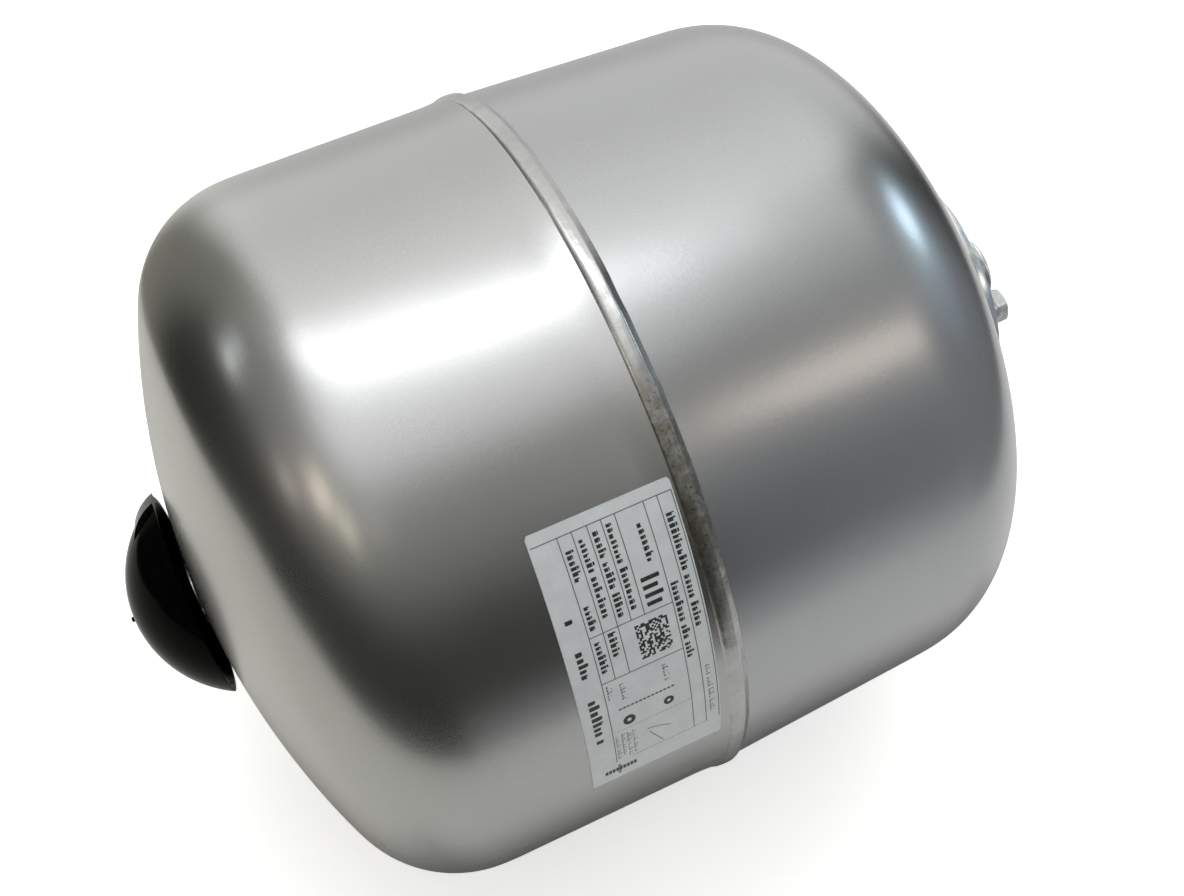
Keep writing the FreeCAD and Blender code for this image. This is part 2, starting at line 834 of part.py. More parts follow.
def lift_tab(body, rim, centre, sphere):
    """Finger tab that stands proud of the dome next to its rim."""
    sketch = make_sketch(body, "XY_Plane")
    buried = sphere - d.lift_tab_root
    foot = root(buried * buried - (rim - centre) * (rim - centre))
    top_x = rim + d.lift_tab_height
    top_y = root(buried * buried - (top_x - centre) * (top_x - centre))
    edge = d.cover_radius + d.lift_tab_proud
    bulge = d.lift_tab_round
    outline = Outline(rim, foot).line(rim, edge)
    bulge_x, bulge_y = arc_centre(rim, edge, top_x, top_y, bulge)
    outline.arc(top_x, top_y, bulge_x, bulge_y, bulge)
    outline.close_arc(centre, ZERO, buried)
    turn = FreeCAD.Rotation(FreeCAD.Vector(1, 0, 0), 180 - d.lift_tab_turn.value)
    sketch.AttachmentOffset = FreeCAD.Placement(FreeCAD.Vector(), turn)
    sketch.setExpression("AttachmentOffset.Rotation.Angle", "180 - Sheet.lift_tab_turn")
    outline.draw(sketch)
    feature = body.newObject("PartDesign::Pad", body.Name + "_tab")
    feature.Profile = sketch
    feature.Midplane = True
    feature.Length = d.lift_tab_width.value
    feature.setExpression("Length", d.lift_tab_width.formula)


def arc_centre(x1, y1, x2, y2, radius):
    """Centre of the arc of given radius through two points, on the axis side."""
    half_x, half_y = (x2 - x1) / 2, (y2 - y1) / 2
    half = root(half_x * half_x + half_y * half_y)
    rise = root(radius * radius - half * half)
    return x1 + half_x + rise * half_y / half, y1 + half_y - rise * half_x / half


def rating_label():
    """Paper label on the air-side shell, one edge over the bell just short of the seam."""
    body = make_body("rating_label", -(d.water_length + d.nipple_stand), "X", d.label_start)
    dish = air_dish()
    bell = d.seam_radius + d.bell_gap + d.wall
    run_out = d.bell_length + d.bell_run_out
    far = d.label_offset + d.label_width
    skin = [(d.label_offset, bell), (d.bell_length, bell), (run_out, dish.wall_radius(run_out)),
            (far, dish.wall_radius(far))]
    outline = Outline(-d.label_offset, bell + d.face_gap)
    for distance, radius in skin[1:]:
        outline.line(-distance, radius + d.face_gap)
    for distance, radius in reversed(skin):
        outline.line(-distance, radius + d.face_gap + d.label_thickness)
    revolve(body, outline, degrees=d.label_sweep)


# ---------------------------------------------------------------- build and write

SUB_PARTS = (
    shell_air_side, shell_water_side, weld_bead,
    neck_collar, neck_weld, bladder, cover_plate, connection_nipple, nipple_weld,
    cover_washers, cover_bolts,
    valve_gasket, valve_stem, valve_washer, valve_nut, valve_core_barrel, valve_core_seal,
    valve_core_pin, valve_core_cup, valve_core_spring, dust_cap, dust_cap_seal, valve_cover,
    rating_label,
)


def check_document():
    """Stop if any object failed to build or any body is empty or not valid."""
    for item in doc.Objects:
        if "Invalid" in item.State or "Error" in item.State:
            raise RuntimeError("%s did not build: %s" % (item.Label, item.State))
    for body in bodies():
        if body.Shape.isNull() or not body.Shape.isValid() or not body.Shape.Solids:
            raise RuntimeError("%s has no valid solid" % body.Label)


def bodies():
    return [item for item in doc.Objects if item.TypeId == "PartDesign::Body"]


def write_parts():
    os.makedirs("parts", exist_ok=True)
    for body in bodies():
        body.Shape.exportStep(os.path.join("parts", body.Label + ".step"))
        box = body.Shape.BoundBox
        print("%-20s solids %d  volume %10.1f  x %8.2f %8.2f" % (
            body.Label, len(body.Shape.Solids), body.Shape.Volume, box.XMin, box.XMax))


for build in SUB_PARTS:
    build()
doc.recompute()
check_document()
write_parts()
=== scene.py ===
import math
import random

import bmesh
import bpy
import numpy as np
from mathutils import Matrix, Vector, noise


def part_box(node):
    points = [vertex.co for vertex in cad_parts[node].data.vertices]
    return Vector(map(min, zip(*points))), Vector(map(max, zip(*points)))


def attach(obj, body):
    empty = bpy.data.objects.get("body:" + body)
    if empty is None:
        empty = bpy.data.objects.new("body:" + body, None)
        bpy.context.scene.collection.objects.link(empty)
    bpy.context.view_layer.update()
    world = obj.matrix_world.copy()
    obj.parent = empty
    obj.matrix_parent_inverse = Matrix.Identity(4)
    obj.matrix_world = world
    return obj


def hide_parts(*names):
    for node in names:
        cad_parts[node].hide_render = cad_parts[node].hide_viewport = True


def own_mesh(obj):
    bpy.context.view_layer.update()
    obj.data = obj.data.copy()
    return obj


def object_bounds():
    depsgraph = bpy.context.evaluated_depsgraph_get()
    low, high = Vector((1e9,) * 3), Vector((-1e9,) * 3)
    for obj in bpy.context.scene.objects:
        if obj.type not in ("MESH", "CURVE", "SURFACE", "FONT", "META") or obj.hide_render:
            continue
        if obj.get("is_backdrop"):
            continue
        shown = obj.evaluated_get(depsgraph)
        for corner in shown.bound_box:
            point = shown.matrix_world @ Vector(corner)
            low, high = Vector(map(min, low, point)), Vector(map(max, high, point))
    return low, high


# Looks of an 8 litre expansion vessel lying on its side. Metres, in the CAD frame: +X runs
# along the axis and out of the water connection, whose end face is the origin, and +Z is up.
#
# Parts of revolution are drawn as outlines in a half plane (distance along the axis,
# radius) in millimetres, and put in place by a Station.

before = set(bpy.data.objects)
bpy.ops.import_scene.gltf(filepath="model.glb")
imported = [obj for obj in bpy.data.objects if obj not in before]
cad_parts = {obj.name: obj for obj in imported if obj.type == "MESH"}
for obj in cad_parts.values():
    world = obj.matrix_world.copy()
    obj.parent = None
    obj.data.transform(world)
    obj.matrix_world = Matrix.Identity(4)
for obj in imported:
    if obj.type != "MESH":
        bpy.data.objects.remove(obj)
cad_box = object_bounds()

MM = 0.001

# ---------------------------------------------------------------- sizes, in millimetres

SEAM_RADIUS = 112.0
WALL = 1.2
FLARE_LENGTH = 8.0
FLARE_POWER = 2.0
FLARE_LIFT = 0.45
BEAD_LENGTH = 6.2
COLLAR_SINK = 1.8
COLLAR_BORE = 28.0
BOLT_CIRCLE = 38.0
BOLT_COUNT = 4
BOLT_TURN = 49.0
BOLT_FLATS = 10.0
THREAD_PITCH = 1.814
SPOUT_PITCH = 0.794
LABEL_OFFSET = 0.7
LABEL_WIDTH = 38.3
LABEL_START = 127.0
LABEL_SWEEP = 44.0
LABEL_TILT = 0.028
LABEL_THICKNESS = 0.12


# ---------------------------------------------------------------- stations on the axis

class Station:
    """A place on the axis from which outlines are measured, and the way they point."""

    def __init__(self, x, direction):
        self.x = x
        self.direction = direction

    def point(self, along, radius, angle):
        """Row-frame point, in metres, for millimetres along the axis and out from it."""
        x = self.x + self.direction * along * MM
        return x, radius * MM * math.cos(angle), radius * MM * math.sin(angle)


SEAM_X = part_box("weld_bead")[0].x - 0.02 * MM
WATER_CROWN_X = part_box("neck_collar")[0].x + COLLAR_SINK * MM
AIR_CROWN_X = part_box("valve_washer")[1].x

toward_air = Station(SEAM_X, -1)
toward_water = Station(SEAM_X, 1)
air_end = Station(AIR_CROWN_X, -1)
water_end = Station(WATER_CROWN_X, 1)


def from_crown(node, corner):
    """Distance of a node's low or high corner out from the water end's crown, in millimetres."""
    return (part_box(node)[corner].x - WATER_CROWN_X) / MM


def above_air_crown(node, corner):
    """The same from the air end's crown, so that corner 1 is the node's inner end."""
    return (AIR_CROWN_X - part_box(node)[corner].x) / MM


# ---------------------------------------------------------------- outlines

def arc(centre, radius, start, stop, steps):
    """Points on a circle from one angle to another, in degrees."""
    points = []
    for number in range(steps + 1):
        angle = math.radians(start + (stop - start) * number / steps)
        points.append((centre[0] + radius * math.cos(angle), centre[1] + radius * math.sin(angle)))
    return points


def eased(corners, steps=4):
    """A closed outline from corners (x, radius, ease), each rounded off by its ease."""
    points = []
    for number, (x, y, ease) in enumerate(corners):
        if not ease:
            points.append((x, y))
            continue
        here = Vector((x, y))
        before = Vector(corners[number - 1][:2]) - here
        after = Vector(corners[(number + 1) % len(corners)][:2]) - here
        start = here + before.normalized() * min(ease, before.length * 0.49)
        stop = here + after.normalized() * min(ease, after.length * 0.49)
        for step in range(steps + 1):
            t = step / steps
            points.append(tuple(start * (1 - t) ** 2 + here * 2 * t * (1 - t) + stop * t * t))
    return points


def flowing(points, reach, spacing):
    """The same open line at even spacing, with its bends spread over a reach."""
    line = np.array(points, float)
    along = np.concatenate([[0.0], np.cumsum(np.hypot(*np.diff(line, axis=0).T))])
    count = int(along[-1] / spacing) + 1
    even = np.linspace(0.0, along[-1], count)
    line = np.stack([np.interp(even, along, line[:, axis]) for axis in (0, 1)], axis=1)
    half = int(3 * reach / spacing)
    weights = np.exp(-0.5 * (np.arange(-half, half + 1) * spacing / reach) ** 2)
    weights /= weights.sum()
    smooth = []
    for axis in (0, 1):
        values = np.pad(line[:, axis], half, mode="reflect", reflect_type="odd")
        smooth.append(np.convolve(values, weights, mode="valid"))
    return [tuple(point) for point in np.stack(smooth, axis=1)]


# ---------------------------------------------------------------- mesh helpers

def finish_mesh(name, mesh, material, body, stands_for, sharp):
    """Link a mesh as a piece that rides on a body and stands for some CAD nodes."""
    tidy = bmesh.new()
    tidy.from_mesh(mesh)
    bmesh.ops.recalc_face_normals(tidy, faces=tidy.faces)
    tidy.to_mesh(mesh)
    tidy.free()
    mesh.shade_smooth()
    mesh.set_sharp_from_angle(angle=math.radians(sharp))
    mesh.materials.append(material)
    piece = bpy.data.objects.new(name, mesh)
    bpy.context.scene.collection.objects.link(piece)
    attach(piece, body)
    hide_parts(*stands_for)
    return piece


def mesh_from(name, vertices, faces):
    mesh = bpy.data.meshes.new(name)
    mesh.from_pydata(vertices, [], faces)
    return mesh


def turned_mesh(name, station, outline, segments, shape=None):
    """Turn a closed outline about the axis. shape(x, radius, angle) may move each point."""
    vertices = []
    rings = []
    for x, radius in outline:
        if radius < 1e-6:
            rings.append([len(vertices)] * segments)
            vertices.append(station.point(x, 0.0, 0.0))
            continue
        rings.append(list(range(len(vertices), len(vertices) + segments)))
        for number in range(segments):
            angle = 2 * math.pi * number / segments
            place = shape(x, radius, angle) if shape else (x, radius)
            vertices.append(station.point(place[0], place[1], angle))
    faces = []
    for ring, following in zip(rings, rings[1:] + rings[:1]):
        for number in range(segments):
            beyond = (number + 1) % segments
            corners = (ring[number], ring[beyond], following[beyond], following[number])
            face = list(dict.fromkeys(corners))
            if len(face) > 2:
                faces.append(face)
    return mesh_from(name, vertices, faces)


def turned(name, station, outline, material, stands_for=(), body="vessel",
           segments=192, shape=None, sharp=35):
    mesh = turned_mesh(name, station, outline, segments, shape)
    return finish_mesh(name, mesh, material, body, stands_for, sharp)


def cut(mesh, tools, operation="DIFFERENCE"):
    """The mesh after a boolean with each tool mesh in turn."""
    for tool in tools:
        work = bpy.data.objects.new("work", mesh)
        cutter = bpy.data.objects.new("cutter", tool)
        for item in (work, cutter):
            bpy.context.scene.collection.objects.link(item)
        boolean = work.modifiers.new("boolean", "BOOLEAN")
        boolean.operation = operation
        boolean.object = cutter
        boolean.solver = "EXACT"
        depsgraph = bpy.context.evaluated_depsgraph_get()
        mesh = bpy.data.meshes.new_from_object(work.evaluated_get(depsgraph))
        for item in (work, cutter):
            bpy.data.objects.remove(item)
    return mesh


def merged(name, meshes):
    """One mesh that holds several closed meshes side by side."""
    whole = bmesh.new()
    for mesh in meshes:
        whole.from_mesh(mesh)
    mesh = bpy.data.meshes.new(name)
    whole.to_mesh(mesh)
    whole.free()
    return mesh


def bolt_places():
    """Angle, Y and Z in millimetres of each bolt of the end plate."""
    for number in range(BOLT_COUNT):
        angle = math.radians(BOLT_TURN + 360.0 * number / BOLT_COUNT)
        yield angle, BOLT_CIRCLE * math.cos(angle), BOLT_CIRCLE * math.sin(angle)


def placed(mesh, turn, y, z):
    """A copy of a mesh turned about the axis and moved to (y, z) millimetres."""
    copy = mesh.copy()
    copy.transform(Matrix.Translation((0.0, y * MM, z * MM)) @ Matrix.Rotation(turn, 4, "X"))
    return copy


def ripple(angle, seed, waves):
    """A smooth random wave round the axis, between about -1 and 1."""
    place = Vector((math.cos(angle), math.sin(angle), 0.0)) * waves / math.tau
    return noise.noise(place + Vector((0.0, 0.0, seed)), noise_basis="PERLIN_NEW") * 1.6


def lump(x, radius, angle, size, seed):
    """Smooth random lumps of a given size over a turned surface, about -1 to 1."""
    place = Vector((x, radius * math.cos(angle), radius * math.sin(angle))) / size
    return noise.noise(place + Vector((seed, seed, seed)), noise_basis="PERLIN_NEW") * 1.6


# ---------------------------------------------------------------- material helpers

class Shader:
    """Builds a node material with short calls."""

    def __init__(self, name):
        self.material = bpy.data.materials.new(name)
        self.material.use_nodes = True
        self.tree = self.material.node_tree
        self.surface = self.tree.nodes["Principled BSDF"]
        self.place = self.node("ShaderNodeTexCoord").outputs["Object"]

    def node(self, kind, **settings):
        item = self.tree.nodes.new(kind)
        for key, value in settings.items():
            setattr(item, key, value)
        return item

    def link(self, value, socket):
        """Join an output to an input, or set the input to a plain value."""
        if isinstance(value, bpy.types.NodeSocket):
            self.tree.links.new(value, socket)
        else:
            socket.default_value = value

    def put(self, **values):
        """Set inputs of the principled surface; underscores stand for spaces."""
        for key, value in values.items():
            self.link(value, self.surface.inputs[key.replace("_", " ")])

    def stretched(self, scale):
        """Object coordinates, in millimetres, scaled differently along each axis."""
        mapping = self.node("ShaderNodeMapping")
        self.link(self.place, mapping.inputs["Vector"])
        mapping.inputs["Scale"].default_value = [1.0 / (MM * size) for size in scale]
        return mapping.outputs["Vector"]

    def noise(self, size, detail=2.0, roughness=0.5, distortion=0.0):
        """Noise between 0 and 1 whose features are about size millimetres across."""
        sizes = size if isinstance(size, tuple) else (size, size, size)
        item = self.node("ShaderNodeTexNoise")
        self.link(self.stretched(sizes), item.inputs["Vector"])
        item.inputs["Scale"].default_value = 1.0
        item.inputs["Detail"].default_value = detail
        item.inputs["Roughness"].default_value = roughness
        item.inputs["Distortion"].default_value = distortion
        return item.outputs["Fac"]

    def cells(self, size, feature="F1"):
        item = self.node("ShaderNodeTexVoronoi", feature=feature)
        self.link(self.stretched((size, size, size)), item.inputs["Vector"])
        item.inputs["Scale"].default_value = 1.0
        return item

    def span(self, value, low, high, bottom=0.0, top=1.0):
        """Map a value from low..high to bottom..top, with soft ends."""
        item = self.node("ShaderNodeMapRange", interpolation_type="SMOOTHSTEP")
        self.link(value, item.inputs["Value"])
        for key, number in zip(("From Min", "From Max", "To Min", "To Max"), (low, high, bottom, top)):
            item.inputs[key].default_value = number
        return item.outputs["Result"]

    def math(self, operation, *values):
        item = self.node("ShaderNodeMath", operation=operation)
        for number, value in enumerate(values):
            self.link(value, item.inputs[number])
        return item.outputs["Value"]

    def mix(self, share, first, second):
        """Blend two colours by a share."""
        item = self.node("ShaderNodeMix", data_type="RGBA")
        self.link(share, item.inputs["Factor"])
        for colour, socket in ((first, item.inputs["A"]), (second, item.inputs["B"])):
            self.link((*colour, 1.0) if isinstance(colour, tuple) else colour, socket)
        return item.outputs["Result"]

    def bump(self, height, depth, under=None):
        """Normal from a height between 0 and 1 that stands for depth millimetres."""
        item = self.node("ShaderNodeBump")
        self.link(height, item.inputs["Height"])
        item.inputs["Strength"].default_value = 1.0
        item.inputs["Distance"].default_value = depth * MM
        if under is not None:
            self.link(under, item.inputs["Normal"])
        return item.outputs["Normal"]


# ---------------------------------------------------------------- materials

def silver_paint(name, colour, orange_peel, dirt):
    """Silver metallic paint: fine flake, orange peel under a thin gloss, a little dust."""
    shader = Shader(name)
    flake = shader.noise(0.35, 1.0)
    cloud = shader.noise(55.0, 2.0)
    peel = shader.noise((1.9, 1.6, 1.6), 1.0, 0.4)
    wave = shader.noise(16.0, 0.0)
    dust = shader.noise(1.3, 3.0, 0.6)
    tone = shader.mix(shader.span(cloud, 0.3, 0.7), tuple(0.97 * c for c in colour), colour)
    tone = shader.mix(shader.span(flake, 0.35, 0.75, 0.0, 0.08), tone, (0.8, 0.8, 0.8))
    grime = shader.math("MULTIPLY", shader.span(dust, 0.68, 0.8), dirt)
    tone = shader.mix(grime, tone, (0.2, 0.19, 0.16))
    rough = shader.span(cloud, 0.25, 0.75, 0.26, 0.29)
    relief = shader.bump(wave, 0.015)
    relief = shader.bump(peel, orange_peel, relief)
    shader.put(Base_Color=tone, Metallic=0.97, Roughness=rough, Normal=relief,
               Coat_Weight=0.22, Coat_Roughness=0.09, Coat_Normal=relief)
    return shader.material


def weld_paint():
    """The same paint over a weld: smooth on most of it, darker, mottled and pitted on one stretch."""
    shader = Shader("weld_paint")
    patch = shader.noise(4.5, 3.0, 0.6)
    pits = shader.noise(0.9, 3.0, 0.6)
    split = shader.node("ShaderNodeSeparateXYZ")
    shader.link(shader.place, split.inputs[0])
    side, height = split.outputs["Y"], split.outputs["Z"]
    # One stretch of the upper side is coloured darker and mottled, with dark pits there.
    dark_stretch = shader.math("MULTIPLY", shader.span(side, -0.038, -0.056), shader.span(side, -0.1, -0.088))
    dark_stretch = shader.math("MULTIPLY", dark_stretch, shader.span(height, 0.0, 0.02))
    dark_mottle = shader.math("MULTIPLY", dark_stretch, shader.span(patch, 0.32, 0.6))
    tone = shader.mix(shader.span(patch, 0.3, 0.65), (0.385, 0.385, 0.38), (0.42, 0.425, 0.43))
    tone = shader.mix(dark_mottle, tone, (0.21, 0.2, 0.175))
    tone = shader.mix(shader.math("MULTIPLY", dark_stretch, shader.span(pits, 0.55, 0.7)), tone, (0.11, 0.103, 0.09))
    rough = shader.math("ADD", shader.span(patch, 0.3, 0.7, 0.28, 0.22), shader.math("MULTIPLY", dark_mottle, 0.15))
    relief = shader.bump(pits, 0.012)
    relief = shader.bump(patch, 0.05, relief)
    shader.put(Base_Color=tone, Metallic=0.97, Roughness=rough,
               Normal=relief, Coat_Weight=0.25, Coat_Roughness=0.1)
    return shader.material


def zinc_plate():
    """Bright zinc plating with turning marks and a faint blue bloom."""
    shader = Shader("zinc_plate")
    bloom = shader.noise(7.0, 3.0, 0.6)
    grain = shader.noise((12.0, 0.25, 0.25), 2.0)
    spots = shader.noise(0.9, 3.0, 0.7)
    tone = shader.mix(shader.span(bloom, 0.35, 0.65), (0.60, 0.65, 0.72), (0.74, 0.74, 0.72))
    tone = shader.mix(shader.span(spots, 0.66, 0.78, 0.0, 0.4), tone, (0.4, 0.4, 0.38))
    rough = shader.span(bloom, 0.3, 0.7, 0.16, 0.3)
    relief = shader.bump(grain, 0.008)
    relief = shader.bump(spots, 0.01, relief)
    shader.put(Base_Color=tone, Metallic=1.0, Roughness=rough, Normal=relief)
    return shader.material


def bolt_steel():
    """Zinc-plated fasteners, a little duller and more worn than the plate."""
    shader = Shader("bolt_steel")
    wear = shader.noise(2.2, 4.0, 0.6)
    fine = shader.noise(0.3, 2.0)
    tone = shader.mix(shader.span(wear, 0.35, 0.7), (0.42, 0.43, 0.45), (0.62, 0.62, 0.61))
    rough = shader.span(wear, 0.3, 0.7, 0.38, 0.22)
    relief = shader.bump(fine, 0.01)
    relief = shader.bump(wear, 0.03, relief)
    shader.put(Base_Color=tone, Metallic=1.0, Roughness=rough, Normal=relief)
    return shader.material


def valve_brass():
    """Turned brass, tarnished in patches."""
    shader = Shader("valve_brass")
    tarnish = shader.noise(2.5, 4.0, 0.6)
    lathe = shader.noise((0.12, 6.0, 6.0), 1.0)
    tone = shader.mix(shader.span(tarnish, 0.4, 0.7), (0.78, 0.57, 0.24), (0.52, 0.36, 0.15))
    rough = shader.span(tarnish, 0.35, 0.7, 0.2, 0.38)
    shader.put(Base_Color=tone, Metallic=1.0, Roughness=rough, Normal=shader.bump(lathe, 0.006))
    return shader.material


def spring_steel():
    """Drawn wire with fine lengthwise streaks."""
    shader = Shader("spring_steel")
    streak = shader.noise((0.1, 0.8, 0.8), 2.0)
    tone = shader.mix(streak, (0.4, 0.4, 0.41), (0.6, 0.6, 0.6))
    shader.put(Base_Color=tone, Metallic=1.0, Roughness=shader.span(streak, 0.3, 0.7, 0.25, 0.4),
               Normal=shader.bump(streak, 0.004))
    return shader.material


def rubber(name, shine):
    """Dull black moulded rubber with a dusty bloom and a fine grain."""
    shader = Shader(name)
    bloom = shader.noise(13.0, 4.0, 0.6)
    grain = shader.noise(0.5, 3.0, 0.6)
    tone = shader.mix(shader.span(bloom, 0.4, 0.75), (0.018, 0.018, 0.018), (0.06, 0.058, 0.055))
    rough = shader.span(bloom, 0.3, 0.75, shine, shine + 0.2)
    shader.put(Base_Color=tone, Roughness=rough, Normal=shader.bump(grain, 0.03))
    return shader.material


def black_plastic(name, low_gloss, high_gloss, grain_depth, specular):
    """Black moulded plastic: faint flow marks, a little dust and handling haze."""
    shader = Shader(name)
    haze = shader.noise(6.0, 4.0, 0.65)
    flow = shader.noise((7.0, 7.0, 2.5), 2.0)
    grain = shader.noise(0.4, 2.0)
    dust = shader.noise(0.55, 2.0, 0.7)
    tone = shader.mix(shader.span(haze, 0.5, 0.8), (0.0015, 0.0015, 0.0015), (0.004, 0.004, 0.004))
    tone = shader.mix(shader.span(dust, 0.76, 0.82, 0.0, 0.15), tone, (0.12, 0.12, 0.11))
    rough = shader.span(haze, 0.35, 0.75, low_gloss, high_gloss)
    relief = shader.bump(flow, 0.02)
    relief = shader.bump(grain, grain_depth, relief)
    shader.put(Base_Color=tone, Roughness=rough, Normal=relief,
               Specular_IOR_Level=specular)
    return shader.material


def label_paper():
    """Coated pale grey label stock with slight mottling and handling marks."""
    shader = Shader("label_paper")
    mottle = shader.noise(5.0, 4.0, 0.6)
    fibre = shader.noise((0.25, 0.6, 0.6), 3.0)
    tone = shader.mix(shader.span(mottle, 0.3, 0.75), (0.63, 0.66, 0.69), (0.7, 0.73, 0.76))
    tone = shader.mix(shader.span(fibre, 0.45, 0.8, 0.0, 0.12), tone, (0.5, 0.52, 0.54))
    shader.put(Base_Color=tone, Roughness=shader.span(mottle, 0.3, 0.7, 0.34, 0.44),
               Normal=shader.bump(fibre, 0.01))
    return shader.material


def label_ink(name, colour):
    """Printed ink, slightly worn so the stock shows through in specks."""
    shader = Shader(name)
    wear = shader.noise(0.45, 3.0, 0.7)
    tone = shader.mix(shader.span(wear, 0.58, 0.8, 0.0, 0.45), colour, (0.5, 0.52, 0.54))
    shader.put(Base_Color=tone, Roughness=0.45)
    return shader.material


AIR_PAINT = silver_paint("air_paint", (0.39, 0.395, 0.402), 0.009, 0.12)
WATER_PAINT = silver_paint("water_paint", (0.382, 0.391, 0.403), 0.009, 0.12)
COLLAR_PAINT = silver_paint("collar_paint", (0.37, 0.375, 0.38), 0.015, 0.3)
WELD_PAINT = weld_paint()
ZINC = zinc_plate()
BOLT_STEEL = bolt_steel()
BRASS = valve_brass()
SPRING_STEEL = spring_steel()
BAG_RUBBER = rubber("bag_rubber", 0.5)
SEAL_RUBBER = rubber("seal_rubber", 0.4)
CAP_PLASTIC = black_plastic("cap_plastic", 0.35, 0.5, 0.02, 0.3)
COVER_PLASTIC = black_plastic("cover_plastic", 0.08, 0.15, 0.003, 0.022)
LABEL_PAPER = label_paper()
LABEL_INK = label_ink("label_ink", (0.02, 0.02, 0.024))
LABEL_GREY = label_ink("label_grey", (0.13, 0.135, 0.15))


# ---------------------------------------------------------------- the two shells

class Dish:
    """The meridian of one shell: a tapered wall, a knuckle and a shallow crown."""

    def __init__(self, length, end_radius, knuckle, crown_depth):
        self.length = length
        self.end_radius = end_radius
        self.knuckle = knuckle
        self.knuckle_x = length - knuckle - crown_depth
        self.knuckle_y = end_radius - knuckle
        rise = knuckle + crown_depth
        self.crown = (self.knuckle_y ** 2 + rise ** 2 - knuckle ** 2) / (2 * crown_depth)
        self.crown_x = length - self.crown

    def wall_radius(self, distance):
        return SEAM_RADIUS - (SEAM_RADIUS - self.end_radius) * distance / self.knuckle_x

    def crown_height(self, radius, inset=0.0):
        return self.crown_x + math.sqrt((self.crown - inset) ** 2 - radius ** 2)

    def skin(self, start, inset, hole):
        """Open line from a place on the wall, round the knuckle and over to a hole."""
        lean = math.degrees(math.atan2(self.knuckle_y, self.knuckle_x - self.crown_x))
        edge = math.degrees(math.asin(hole / (self.crown - inset)))
        line = [(start, self.wall_radius(start) - inset)]
        line += arc((self.knuckle_x, self.knuckle_y), self.knuckle - inset, 90, lean, 40)
        line += arc((self.crown_x, 0.0), self.crown - inset, lean, edge, 60)[1:]
        return flowing(line, 3.5, 1.3)


AIR_DISH = Dish(120.8, 111.35, 39.8, 14.4)
WATER_DISH = Dish(128.5, 109.3, 37.7, 15.7)


def flare_radius(distance):
    """Outer radius of the air shell near the seam, where its rim flares out over the other."""
    wall = AIR_DISH.wall_radius(distance)
    if distance >= FLARE_LENGTH:
        return wall
    return wall + FLARE_LIFT * (1 - distance / FLARE_LENGTH) ** FLARE_POWER


def flare_line(inset):
    """Open line along the flare, from the rim to the plain wall."""
    steps = 22
    line = []
    for number in range(steps):
        distance = FLARE_LENGTH * number / steps
        line.append((distance, flare_radius(distance) - inset))
    return line


def press_marks(x, radius, angle, seed):
    """The small waviness that drawing leaves in a shell, in millimetres."""
    return 0.05 * lump(x, radius, angle, 46.0, seed) + 0.02 * lump(x, radius, angle, 19.0, seed + 3)


def air_shell():
    """Shell of the air end, slightly flared at the seam, with a hole for the valve."""
    hole = 5.2
    outline = flare_line(0.0) + AIR_DISH.skin(FLARE_LENGTH, 0.0, hole)
    outline += (flare_line(WALL) + AIR_DISH.skin(FLARE_LENGTH, WALL, hole))[::-1]

    def shape(x, radius, angle):
        edge = 0.07 * ripple(angle, 5.0, 60) if x == 0.0 else 0.0
        return x + edge, radius + press_marks(x, radius, angle, 1.0)

    return turned("air_shell", toward_air, outline, AIR_PAINT, ["shell_air_side"],
                  segments=512, shape=shape)


def water_shell():
    """Shell of the water end, open at its crown for the collar."""
    opening = 27.0
    outline = WATER_DISH.skin(0.0, 0.0, opening) + WATER_DISH.skin(0.0, WALL, opening)[::-1]

    def shape(x, radius, angle):
        fade = min(1.0, max(0.0, x / 12.0))
        return x, radius + fade * press_marks(x, radius, angle, 9.0)

    return turned("water_shell", toward_water, outline, WATER_PAINT,
                  ["shell_water_side"], segments=512, shape=shape)


def seam_weld():
    """Weld that stands proud over the seam, with soft lumps and one stop mark."""
    rim = SEAM_RADIUS + FLARE_LIFT
    toe = WATER_DISH.wall_radius(BEAD_LENGTH)
    profile = [(-0.35, rim - 0.3), (-0.1, rim - 0.04), (0.45, rim + 0.34), (1.3, rim + 0.6),
               (2.8, rim + 0.72), (4.3, rim + 0.66), (BEAD_LENGTH - 0.7, toe + 0.45),
               (BEAD_LENGTH, toe - 0.02)]
    top = flowing(profile, 0.2, 0.18)
    root = [(BEAD_LENGTH, toe - 0.4), (-0.35, SEAM_RADIUS - 0.2)]
    stop_angle = math.radians(121.0)
    stop_spread = math.radians(2.6)

    def shape(x, radius, angle):
        if radius < toe - 0.3:
            return x, radius
        share = min(1.0, max(0.0, x / BEAD_LENGTH))
        body = math.sin(math.pi * share) ** 0.5
        lift = 0.06 * ripple(angle, 4.0, 24)
        lift += 0.07 * lump(x, SEAM_RADIUS, angle, 8.0, 4.0)
        lift += 0.02 * lump(x, SEAM_RADIUS, angle, 2.8, 6.0)
        stop = math.exp(-((angle - stop_angle) / stop_spread) ** 2)
        lift += 0.4 * stop * math.exp(-((x - 4.6) / 0.9) ** 2)
        wander = 0.14 * ripple(angle, 2.0, 14) + 0.1 * ripple(angle, 7.0, 80)
        return x + wander * share * 1.5, radius + body * lift

    return turned("seam_weld", toward_water, top + root, WELD_PAINT, ["weld_bead"],
                  segments=1600, shape=shape, sharp=70)


# ---------------------------------------------------------------- water end

def neck_collar():
    """Thick ring welded round the opening, with tapped holes for the bolts."""
    low, high = (from_crown("neck_collar", corner) for corner in (0, 1))
    radius = 44.0
    outline = eased([(low, COLLAR_BORE, 0.3), (low, radius, 0.3), (high, radius, 0.9),
                     (high, COLLAR_BORE, 0.6)])
    ring = turned_mesh("collar", water_end, outline, 192)
    ring = cut(ring, bolt_drills(3.05, low, high))
    return finish_mesh("collar_ring", ring, COLLAR_PAINT, "vessel",
                       ["neck_collar"], 35)


